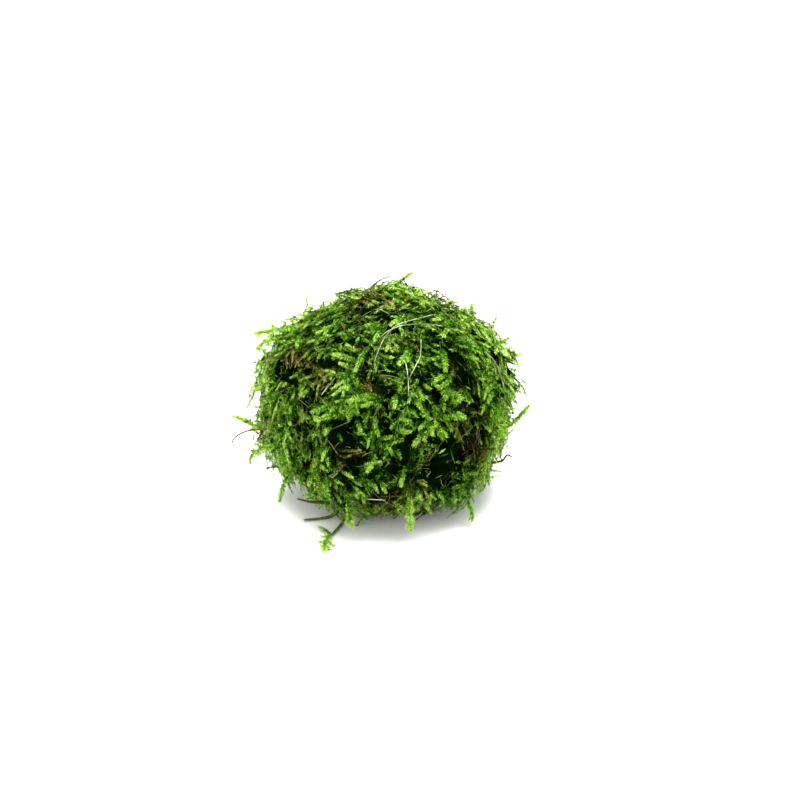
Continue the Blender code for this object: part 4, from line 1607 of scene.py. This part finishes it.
    def random_vector(self, size: float) -> Vector:
        """Gives a random vector, whose three parts have a size as their standard deviation."""
        return Vector([self.rng.gauss(0.0, size) for _ in range(3)])

    def scattered(self, count: int, amount: float) -> Iterator[Vector]:
        """Gives unit vectors spread round the ball, each moved a little at random.

        Args:
            count: How many.
            amount: How far each is moved.

        Yields:
            The unit vectors.
        """
        for way in even_directions(count):
            yield (way + self.random_vector(amount)).normalized()

    def heading(self, way: Vector, downward: float) -> Vector:
        """Gives a random direction along the moss.

        Args:
            way: The unit vector out of the ball.
            downward: How much the direction favours down.

        Returns:
            A unit vector square to way.
        """
        return square_to(self.random_vector(1.0) + DOWN * downward, way)

    def sprout(self, way: Vector, rooting: Rooting) -> tuple[Vector, Vector]:
        """Roots a small growth in the moss.

        Args:
            way: The unit vector out of the ball.
            rooting: How its kind is rooted.

        Returns:
            Its root, and the unit vector along which it leaves.
        """
        root = self.surface.at(way, self.rng.uniform(*rooting.depths_mm) * MM)
        run = self.heading(way, rooting.downward) + way * self.rng.uniform(*rooting.rises)
        return root, run.normalized()

    def wander(self, way: Vector, length: float, rise: float, top: float) -> list[Vector]:
        """Lets a stem grow out of the moss and along it, pulled down by its weight.

        Args:
            way: Where it starts, as a unit vector from the ball's middle.
            length: Its length.
            rise: How steeply it leaves the moss.
            top: The height over the moss that its tip keeps to.

        Returns:
            Points along the stem.
        """
        surface = self.surface
        points = [surface.at(way, self.frond_root)]
        run = (self.heading(way, self.frond_downward) + way * rise).normalized()
        count = max(4, round(length / self.step))
        for number in range(count):
            out = surface.way_to(points[-1])
            wanted = self.frond_foot + (top - self.frond_foot) * (number + 1) / count
            away = surface.height(points[-1]) - wanted
            run = (run + DOWN * self.frond_weight - out * away / MM * self.frond_steering).normalized()
            points.append(points[-1] + run * self.step)
        return points

    @staticmethod
    def free_hang(way: Vector) -> float:
        """Says how freely fronds hang off the ball there, from 1 on top to 0 underneath."""
        return min(1.0, max(0.0, 1.0 + (way.z + 0.15) * 1.7))

    def grow_fronds(self) -> None:
        """Grows the fronds that lie over the ball."""
        rng = self.rng
        for way in self.scattered(self.frond_count, self.frond_scatter):
            tint, age, close, _ = self.tones.at(way)
            hang = self.free_hang(way)
            length = rng.uniform(*self.frond_lengths) * (0.6 + 0.4 * hang)
            top = rng.uniform(*self.frond_tops) * hang * MM
            points = self.wander(way, length, rng.uniform(*self.frond_rises), top)
            close = min(close, *(self.tones.at(self.surface.way_to(point))[2] for point in points[3::3]))
            if rng.random() > close:
                continue
            habit = Habit(longest=rng.uniform(2.8, 5.2) * MM, branch_angle=rng.uniform(44.0, 70.0),
                          branch_gap=rng.uniform(1.4, 2.3) * MM, wide=rng.uniform(0.8, 1.25),
                          sag=130.0 * hang)
            shade = tint + rng.gauss(0.0, 0.10)
            older = min(1.0, age * rng.uniform(0.6, 1.2))
            self.frond.dress(self.pieces[Side.of(way)], Line(points), habit, shade, older)

    def grow_sprigs(self) -> None:
        """Sets short single sprigs between the fronds, standing out of the moss."""
        rng = self.rng
        for way in self.scattered(self.sprigs.count, self.sprigs.scatter):
            tint, age, _, close = self.tones.at(way)
            root, run = self.sprout(way, self.sprigs)
            sprig, size = self.box.tip(rng.uniform(1.4, 3.8) * MM, rng)
            bend = DOWN * rng.uniform(40.0, 190.0) * self.free_hang(way)
            tip = root + run * sprig.form.length * size
            if rng.random() > min(close, self.tones.at(self.surface.way_to(tip))[3]):
                continue
            face = Matrix.Rotation(rng.uniform(-0.9, 0.9), 3, run) @ square_to(way, run)
            older = min(1.0, age * rng.uniform(0.5, 1.2))
            shade = tint + rng.gauss(-0.03, 0.12)
            wide = rng.uniform(0.7, 1.1) * (1.0 - self.frond.shrinking * older)
            self.pieces[Side.of(way)].plant(sprig, root, run, face, bend, size, shade, older, wide)

    def grow_old_strands(self) -> None:
        """Lays older strands in every direction just under the fronds, darker both for their age and with
        painted shade.
        """
        rng = self.rng
        for way in self.scattered(self.old_strands.count, self.old_strands.scatter):
            tint, age, _, close = self.tones.at(way)
            if rng.random() > close:
                continue
            root, run = self.sprout(way, self.old_strands)
            face = Matrix.Rotation(rng.uniform(-0.8, 0.8), 3, run) @ square_to(way, run)
            strand = rng.choice(self.box.thin)
            bend = -way * rng.uniform(20.0, 90.0)
            size = rng.uniform(0.8, 1.3)
            # Partly for their age, partly painted shade: old strands take a darker tint than the fronds over
            # them.
            shade = tint * 0.8 + rng.gauss(0.0, 0.08)
            older = min(1.0, age + max(0.0, rng.gauss(0.06, 0.2)))
            self.old.plant(strand, root, run, face, bend, size, shade, older)

    def grow_fibres(self) -> None:
        """Lays thin bare stems over and between the fronds."""
        rng = self.rng
        for way in self.scattered(self.bare_fibres.count, self.bare_fibres.scatter):
            if rng.random() > 0.3 + 1.4 * self.tones.at(way)[1]:
                continue
            root, run = self.sprout(way, self.bare_fibres)
            curl = self.heading(way, 0.0) * rng.uniform(-480.0, 480.0) - way * rng.uniform(20.0, 140.0)
            size = rng.uniform(0.6, 1.5)
            shade = rng.uniform(0.4, 1.1)
            older = rng.uniform(0.1, 0.9)
            self.fibres.plant(self.box.bare, root, run, square_to(way, run), curl, size, shade, older,
                              rng.uniform(0.8, 1.3))

    def build(self, leaf: Material, stem: Material) -> None:
        """Builds the pieces.

        Args:
            leaf: The leaves' material.
            stem: The stems' material.
        """
        for piece in (*self.pieces.values(), self.bold, self.old):
            piece.build([leaf, stem], Slot.GREEN, ("moss_ball",))
        self.fibres.build([leaf, stem], Slot.BROWN, ("moss_ball",))


@dataclass
class MossBed:
    """The felt of packed moss inside, painted dark for the shade under the fronds, which follows the ball under
    them.
    """

    surface: MossSurface
    depth: float = 2.2 * MM
    lump: float = 1.2 * MM
    lump_width: float = 3.0 * MM
    fineness: int = 5
    lowest: float = 0.4 * MM

    def build(self) -> Object:
        """Builds the bed and sets it in the frame.

        Returns:
            The bed.
        """
        bm = bmesh.new()
        bmesh.ops.create_icosphere(bm, subdivisions=self.fineness, radius=1.0)
        for vert in bm.verts:
            way = vert.co.normalized()
            place = self.surface.at(way, -self.depth)
            vert.co = place + way * noise.noise(place / self.lump_width) * self.lump
            vert.co.z = max(vert.co.z, self.lowest)
        bmesh.ops.recalc_face_normals(bm, faces=bm.faces[:])
        for face in bm.faces:
            face.smooth = True
        mesh = bpy.data.meshes.new("old_moss_bed")
        bm.to_mesh(mesh)
        bm.free()
        mesh.materials.append(BedFinish().build())
        LOG.info("old_moss_bed: %d faces", len(mesh.polygons))
        return set_piece(bpy.data.objects.new("old_moss_bed", mesh), Slot.GREEN, ("moss_ball",))


# Strands of thread in view: pixels of the photograph along each.
STRANDS = (
    (375, 360, 378, 352, 385, 337, 397, 325, 416, 319, 432, 315),
    (381, 336, 390, 330, 405, 325, 428, 324, 442, 326), (405.6, 362, 408, 377, 408.5, 395),
    (421, 340, 421, 348, 420, 357, 415, 367, 409, 379),
    (486, 352, 495, 362, 503, 384, 505, 406, 499, 432, 492, 456), (334, 379, 322, 394),
    (380, 309, 389, 314), (366, 499, 384, 500),
)


class BindingThread:
    """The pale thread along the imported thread's course, laid on the strands that the photograph shows."""

    merge: float = 0.00001
    ring_edge: float = 0.4 * MM
    radius: float = 0.072 * MM
    roundness: int = 2
    step: float = 0.6 * MM
    strand_reads: int = 60
    reach: float = 3.4 * MM
    gap_cost: float = 6.0
    fewest: int = 3
    strand_height: float = 0.6 * MM
    in_view: float = 0.2 * MM
    room: float = 1.7
    cover_width: float = 1.5 * MM
    cover_share: float = 0.35
    easing: int = 9
    onward: float = 0.4 * MM
    drop: float = 4.0 * MM
    buried: float = -3.2 * MM
    sinking: int = 3
    lowest: float = 0.35 * MM
    behind: float = -0.15
    shown_behind: float = 0.25
    stretch_pattern: float = 2.6
    stretch_shift: tuple[float, float, float] = (1.7, 0.3, 4.1)

    def __init__(self, node: Object, surface: MossSurface) -> None:
        """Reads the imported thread's course and picks what shows.

        Args:
            node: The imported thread.
            surface: The ball.
        """
        self.node = node
        self.surface = surface
        course = Line(smooth_through(self.course()))
        self.points = course.spaced(round(course.length / self.step))
        self.shown = [False] * len(self.points)
        self.laid = [False] * len(self.points)
        for strand in STRANDS:
            self.lay_on(strand)
        self.show_behind()

    def course(self) -> list[Vector]:
        """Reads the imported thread's course.

        Returns:
            The middles of its cross-sections, in order along it.
        """
        bm = bmesh.new()
        bm.from_mesh(self.node.data)
        bmesh.ops.remove_doubles(bm, verts=bm.verts[:], dist=self.merge)
        owner, rings = {}, []
        for vert in bm.verts:
            if vert in owner:
                continue
            ring, ahead = [], [vert]
            owner[vert] = len(rings)
            while ahead:
                one = ahead.pop()
                ring.append(one)
                for edge in one.link_edges:
                    other = edge.other_vert(one)
                    if edge.calc_length() < self.ring_edge and other not in owner:
                        owner[other] = len(rings)
                        ahead.append(other)
            rings.append(ring)
        near = [{owner[edge.other_vert(vert)] for vert in ring for edge in vert.link_edges} - {number}
                for number, ring in enumerate(rings)]
        middles = [sum((vert.co for vert in ring), Vector()) / len(ring) for ring in rings]
        bm.free()
        at = next(number for number, others in enumerate(near) if len(others) == 1)
        order, left = [at], set(range(len(rings))) - {at}
        while near[at] & left:
            at = (near[at] & left).pop()
            left.discard(at)
            order.append(at)
        return [middles[number] for number in order]

    def stretch_beside(self, gaps: np.ndarray) -> tuple[int, int]:
        """Finds the stretch of thread that follows a strand best.

        Args:
            gaps: How far each point of the thread lies from each point of the strand.

        Returns:
            The numbers of its first point and of the point after its last, both 0 if no stretch does.
        """
        places, near = gaps.argmin(axis=1), gaps.min(axis=1) < self.reach
        best, found, first = 0.0, (0, 0), None
        for number in range(len(gaps) + 1):
            inside = number < len(gaps) and near[number]
            if inside and first is None:
                first = number
            elif not inside and first is not None:
                far = gaps[first:number].min(axis=1).mean() / MM
                span = np.ptp(places[first:number]) - self.gap_cost * far
                if span > best:
                    best, found = float(span), (first, number)
                first = None
        return found

    def lay_on(self, strand: Run) -> None:
        """Moves the stretch of thread that runs by a strand in view onto it.

        Args:
            strand: Pixels of the photograph along the strand.
        """
        seen = smooth_through([self.surface.seen_at(pixel, self.strand_height)
                               for pixel in pixels_of(strand)])
        line = Line([self.dive(seen[0], seen[1])] + seen + [self.dive(seen[-1], seen[-2])])
        reads = np.array([point[:] for point in line.spaced(self.strand_reads)])
        thread = np.array([point[:] for point in self.points])
        gaps = np.linalg.norm(thread[:, None, :] - reads[None, :, :], axis=2)
        first, last = self.stretch_beside(gaps)
        if last - first < self.fewest:
            return
        places = gaps[first:last].argmin(axis=1)
        one, other = first + int(places.argmin()), first + int(places.argmax())
        low, high = min(one, other), max(one, other)
        for number in range(low, high + 1):
            self.points[number] = line.at(line.length * ((number - one) / (other - one)))
            self.laid[number] = True
            self.shown[number] = self.surface.height(self.points[number]) > self.in_view
        for gap in range(1, self.easing):
            for number, end in ((low - gap, low), (high + gap, high)):
                if 0 <= number < len(self.points) and not self.laid[number]:
                    self.points[number] = self.points[end].lerp(self.points[number], gap / self.easing)

    def dive(self, end: Vector, before: Vector) -> Vector:
        """Gives the point in the moss to which a strand goes on past its end."""
        away = (end - self.surface.studio.place()).normalized()
        return end + (end - before).normalized() * self.onward + away * self.drop

    def put_on(self, display: Display) -> None:
        """Puts the strands of the photograph on display, but for short stretches that moss covers.

        Args:
            display: What the photograph shows in front of the rest.
        """
        display.add([point for point, shown, laid in zip(self.points, self.shown, self.laid)
                     if shown and laid and noise.noise(point / self.cover_width) < self.cover_share],
                    self.room)

    def show_behind(self) -> None:
        """Picks stretches that show on the side that the photograph doesn't."""
        for number, point in enumerate(self.points):
            way = self.surface.way_to(point)
            pattern = noise.noise(way * self.stretch_pattern + Vector(self.stretch_shift))
            if self.surface.facing(way, point) < self.behind and pattern > self.shown_behind:
                self.shown[number] = True

    def build(self) -> Object:
        """Builds the thread, pulled down in the moss wherever it doesn't show, and sets it in the frame.

        Returns:
            The thread.
        """
        path = []
        free = [shown and not laid for shown, laid in zip(self.shown, self.laid)]
        for number, point in enumerate(self.points):
            if self.laid[number]:
                path.append(point)
                continue
            near = [gap for gap in range(self.sinking) if any(free[max(0, number - gap):number + gap + 1])]
            share = (near[0] if near else self.sinking) / self.sinking
            height = self.surface.height(point) * (1.0 - share) + self.buried * share
            sunk = self.surface.at(self.surface.way_to(point), height)
            sunk.z = max(sunk.z, self.lowest)
            path.append(sunk)
        mesh = sweep("nylon_binding_thread", path, [self.radius] * len(path), self.roundness)
        mesh.materials.append(ThreadFinish().build())
        LOG.info("nylon_binding_thread: %d faces", len(mesh.polygons))
        return set_piece(bpy.data.objects.new(mesh.name, mesh), Slot.THREAD, (self.node.name,))


def sweep(name: str, path: list[Vector], radii: list[float], roundness: int) -> Mesh:
    """Makes a round tube along a path.

    Args:
        name: The mesh's name.
        path: Points along its middle.
        radii: Its radius at each.
        roundness: How finely its section is divided.

    Returns:
        The tube's mesh, with closed ends.
    """
    curve = bpy.data.curves.new(name, "CURVE")
    curve.dimensions = "3D"
    curve.bevel_depth = 1.0
    curve.bevel_resolution = roundness
    curve.use_fill_caps = True
    spline = curve.splines.new("POLY")
    spline.points.add(len(path) - 1)
    for knot, point, radius in zip(spline.points, path, radii):
        knot.co = (*point, 1.0)
        knot.radius = radius
    rough = bpy.data.objects.new(name, curve)
    bpy.context.scene.collection.objects.link(rough)
    graph = bpy.context.evaluated_depsgraph_get()
    mesh = bpy.data.meshes.new_from_object(rough.evaluated_get(graph))
    bpy.data.objects.remove(rough)
    bpy.data.curves.remove(curve)
    mesh.name = name
    mesh.materials.clear()
    mesh.shade_smooth()
    return mesh


class Cover(Enum):
    """What a loose shoot wears: leafy branchlets, a bare rough skin, or small leaves close to that skin."""

    LEAFY = "leafy"
    BARE = "bare"
    SCALY = "scaly"


@dataclass(frozen=True)
class LooseShoot:
    """A shoot or bare stem that leaves the ball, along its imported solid's points, in millimetres."""

    node: str
    run_mm: Run
    size: float = 1.1
    tint: float = 0.66
    branch_mm: float = 1.8
    age: float = 0.0
    cover: Cover = Cover.LEAFY

    def path(self) -> list[Vector]:
        """Gives points on the smooth curve that the shoot follows."""
        return smooth_through([Vector(self.run_mm[at:at + 3]) * MM for at in range(0, len(self.run_mm), 3)])


LOOSE_SHOOTS = (
    LooseShoot("upper_left_shoot", (-19.7, 3.1, 40.8, -22.9, 5.2, 40.7, -27.0, 6.6, 39.0, -30.8, 7.3, 38.1),
               1.35, 0.74, 3.0),
    LooseShoot("upper_left_side_shoot", (-21.5, 1.4, 39.2, -25.0, 1.2, 39.7, -28.0, 1.6, 38.4,
                -29.9, 2.3, 36.2), 1.2, 0.78, 2.2),
    LooseShoot("left_shoot", (-27.7, -5.0, 19.1, -31.4, -3.2, 19.5, -33.3, -2.1, 20.3, -35.9, -1.9, 20.8),
               1.6, 0.84, 2.4),
    LooseShoot("left_hooked_stem", (-27.5, -8.2, 20.6, -31.2, -7.4, 20.0, -33.9, -7.2, 18.8,
                -35.4, -7.5, 17.4, -35.1, -8.0, 16.0), 0.32, 0.6, age=0.7, cover=Cover.BARE),
    LooseShoot("low_left_shoot", (-26.5, -9.8, 16.9, -29.6, -8.9, 15.6, -31.2, -8.6, 13.9,
                -31.0, -9.2, 11.9), 1.15, 0.72, 2.2),
    LooseShoot("bottom_left_shoot", (-21.3, -16.1, 14.0, -22.8, -16.9, 11.9, -23.6, -17.6, 9.4,
                -24.2, -18.3, 6.9), 1.5, 0.62, 0.0),
    LooseShoot("bottom_left_stem", (-14.0, -19.5, 7.4, -16.4, -20.3, 7.9, -18.2, -20.2, 8.2,
                -20.0, -19.4, 8.3), 0.42, 0.36, age=0.6, cover=Cover.BARE),
    LooseShoot("floor_stem", (-10.9, -12.9, 2.0, -12.6, -13.8, 0.8, -15.3, -14.4, 0.5, -18.8, -15.0, 0.5),
               0.5, 0.6, age=0.3, cover=Cover.SCALY),
    LooseShoot("trailing_stem", (-8.6, -12.9, 2.4, -9.3, -15.2, 1.1, -10.4, -18.1, 0.5, -12.3, -22.7, 0.5),
               0.55, 0.62, age=0.25, cover=Cover.SCALY),
    LooseShoot("trailing_left_shoot", (-12.2, -22.4, 0.8, -12.9, -22.0, 0.9, -13.7, -20.9, 0.95,
                -15.4, -19.5, 0.95)),
    LooseShoot("trailing_front_shoot", (-12.3, -22.6, 0.8, -12.8, -23.9, 1.0, -13.4, -26.4, 1.0,
                -13.7, -30.7, 1.0), 1.4, 0.82, 2.4),
    LooseShoot("front_left_drooping_shoot", (-8.4, -22.6, 9.6, -8.3, -25.0, 8.4, -7.9, -26.0, 6.6,
                -7.4, -25.6, 4.2)),
    LooseShoot("front_right_drooping_shoot", (5.8, -25.6, 12.4, 5.8, -27.6, 9.6, 5.9, -27.8, 6.8,
                6.1, -27.0, 4.2), 1.2, 0.82, 1.6),
    LooseShoot("lower_right_drooping_shoot", (18.3, -15.6, 7.4, 19.7, -17.0, 5.4, 20.2, -17.6, 3.4,
                20.0, -17.0, 1.3)),
    LooseShoot("right_hooked_stem", (23.8, -9.2, 12.1, 26.3, -8.3, 12.2, 27.6, -7.0, 12.0,
                28.6, -5.7, 12.7, 29.8, -5.9, 12.3), 0.42, 0.45, age=0.6, cover=Cover.BARE),
    LooseShoot("right_shoot", (27.5, -5.7, 19.2, 30.2, -3.6, 20.3, 32.1, -1.9, 21.6, 33.8, -0.9, 23.3),
               1.7, 0.78, 2.4),
    LooseShoot("upper_right_shoot", (23.4, 3.2, 35.0, 26.6, 4.9, 36.3, 29.1, 6.2, 37.6), 1.2, 0.76, 1.6),
    LooseShoot("upper_right_side_shoot", (25.2, 1.2, 33.2, 28.3, 2.4, 34.0, 31.9, 3.6, 34.5),
               1.2, 0.74, 1.6),
    LooseShoot("top_right_shoot", (18.8, 3.4, 38.6, 20.2, 6.4, 41.8, 20.2, 9.3, 44.8), 1.4),
    LooseShoot("crown_shoot", (1.2, 9.9, 46.6, 3.5, 13.0, 48.9, 6.8, 15.3, 50.5)),
    LooseShoot("crown_stem", (-4.6, 9.0, 47.3, -1.8, 11.9, 49.3, 1.3, 13.8, 50.1),
               0.32, 0.6, age=0.7, cover=Cover.BARE),
    LooseShoot("back_left_shoot", (-12.4, 22.4, 32.6, -14.8, 27.4, 34.6, -16.2, 31.4, 35.2)),
    LooseShoot("back_right_shoot", (15.0, 22.8, 18.2, 17.6, 27.6, 16.4, 19.2, 30.6, 13.2)),
    LooseShoot("back_trailing_shoot", (8.2, 15.0, 2.4, 10.2, 19.6, 1.1, 12.2, 25.4, 1.0, 12.8, 30.6, 1.0)),
)


def smooth_through(points: list[Vector], reads: int = 8) -> list[Vector]:
    """Gives points on a smooth curve through the given points.

    Args:
        points: The points to pass through.
        reads: How many points are read between two of them.

    Returns:
        The curve's points, both ends included.
    """
    ends = [points[0] * 2.0 - points[1]] + points + [points[-1] * 2.0 - points[-2]]
    curve = []
    for first, second, third, fourth in zip(ends, ends[1:], ends[2:], ends[3:]):
        for number in range(reads):
            t = number / reads
            curve.append(0.5 * (second * 2.0 + (third - first) * t
                                + (first * 2.0 - second * 5.0 + third * 4.0 - fourth) * t * t
                                + (second * 3.0 - first - third * 3.0 + fourth) * t * t * t))
    curve.append(points[-1])
    return curve


@dataclass
class ShootMaker:
    """Dresses the loose shoots: leaves on the leafy ones, a rough tapering skin on the bare stems."""

    surface: MossSurface
    box: SprigBox
    feathers: SprigBox
    leaf: Material
    stem: Material
    seed: int = 31
    branch_gap: float = 1.3 * MM
    bare_foot: float = 0.4 * MM
    sag: float = 60.0
    branch_width: float = 1.35
    feather_width: float = 0.9
    feather_rolls: tuple[float, ...] = (10.0, 75.0, 130.0)
    scale_width: float = 0.9
    stem_start: float = 0.95
    stem_taper: float = 0.5
    knots: float = 0.3
    knot_gap: float = 0.9
    stem_mottle: float = 0.06

    def build(self) -> None:
        """Builds every loose shoot."""
        for number, shoot in enumerate(LOOSE_SHOOTS):
            if shoot.cover is not Cover.BARE:
                self.build_leaves(shoot, self.seed + number)
            if shoot.cover is not Cover.LEAFY:
                self.build_bark(shoot, self.seed + number)

    def build_leaves(self, shoot: LooseShoot, seed: int) -> None:
        """Builds a shoot's leaves, with short side branchlets where it is leafy.

        Args:
            shoot: The shoot.
            seed: Makes its small differences its own.
        """
        frond = Frond(self.box, self.surface, Random(seed))
        growth = Growth(shoot.node + "_leaves", self.surface, seed)
        line = Line(shoot.path())
        if shoot.cover is Cover.SCALY:
            frond.dress_stem(growth, line, 0.0, shoot.tint, shoot.age, self.scale_width)
            growth.build([self.leaf, self.stem], Slot.BROWN, (shoot.node,))
            return
        if shoot.branch_mm:
            habit = Habit(longest=shoot.branch_mm * MM, branch_gap=self.branch_gap, bare_foot=self.bare_foot,
                          sag=self.sag, wide=shoot.size * self.branch_width)
            frond.dress(growth, line, habit, shoot.tint, shoot.age)
        feather = Frond(self.feathers, self.surface, Random(seed))
        for roll in self.feather_rolls:
            feather.dress_stem(growth, line, math.radians(roll), shoot.tint, shoot.age,
                               shoot.size * self.feather_width)
        growth.build([self.leaf, self.stem], Slot.GREEN, (shoot.node,))

    def build_bark(self, shoot: LooseShoot, seed: int) -> None:
        """Builds a bare stem as a tapering tube with small knots.

        Args:
            shoot: The stem.
            seed: Makes its small differences its own.
        """
        points, radii = shoot.path(), []
        for number in range(len(points)):
            knot = 1.0 + self.knots * noise.noise(Vector((number * self.knot_gap, seed, 0.0)))
            taper = self.stem_start - self.stem_taper * number / (len(points) - 1)
            radii.append(shoot.size * MM * taper * knot)
        mesh = sweep(shoot.node + "_bark", points, radii, 2)
        rng = np.random.default_rng(seed)
        for label, level in (("tint", shoot.tint), ("age", shoot.age)):
            carry(mesh, label, level + rng.normal(0.0, self.stem_mottle, len(mesh.vertices)))
        mesh.materials.append(self.stem)
        LOG.info("%s: %d faces", mesh.name, len(mesh.polygons))
        set_piece(bpy.data.objects.new(mesh.name, mesh), Slot.BROWN, (shoot.node,))


def main() -> None:
    """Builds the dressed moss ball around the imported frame."""
    logging.basicConfig(level=logging.INFO, format="%(message)s")
    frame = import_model()
    studio = Studio()
    studio.build()
    nodes = frame["nodes"]
    surface = MossSurface(nodes["moss_ball"], studio)
    tones = Tones(surface)
    box = SprigBox()
    feathers = SprigBox(SprigForm(1.8 * MM, leaf_gap=0.11 * MM, leaf_length=0.78 * MM, leaf_width=0.19 * MM,
                                  taper=0.4), 400)
    leaf, stem = LeafFinish().build(), StemFinish().build()
    thread = BindingThread(nodes["binding_thread"], surface)
    MossBed(surface).build()
    thread.build()
    display = Display(surface)
    thread.put_on(display)
    coat = MossCoat(surface, tones, box, feathers, display)
    coat.grow()
    coat.build(leaf, stem)
    ShootMaker(surface, box, feathers, leaf, stem).build()


if __name__ == "__main__":
    main()
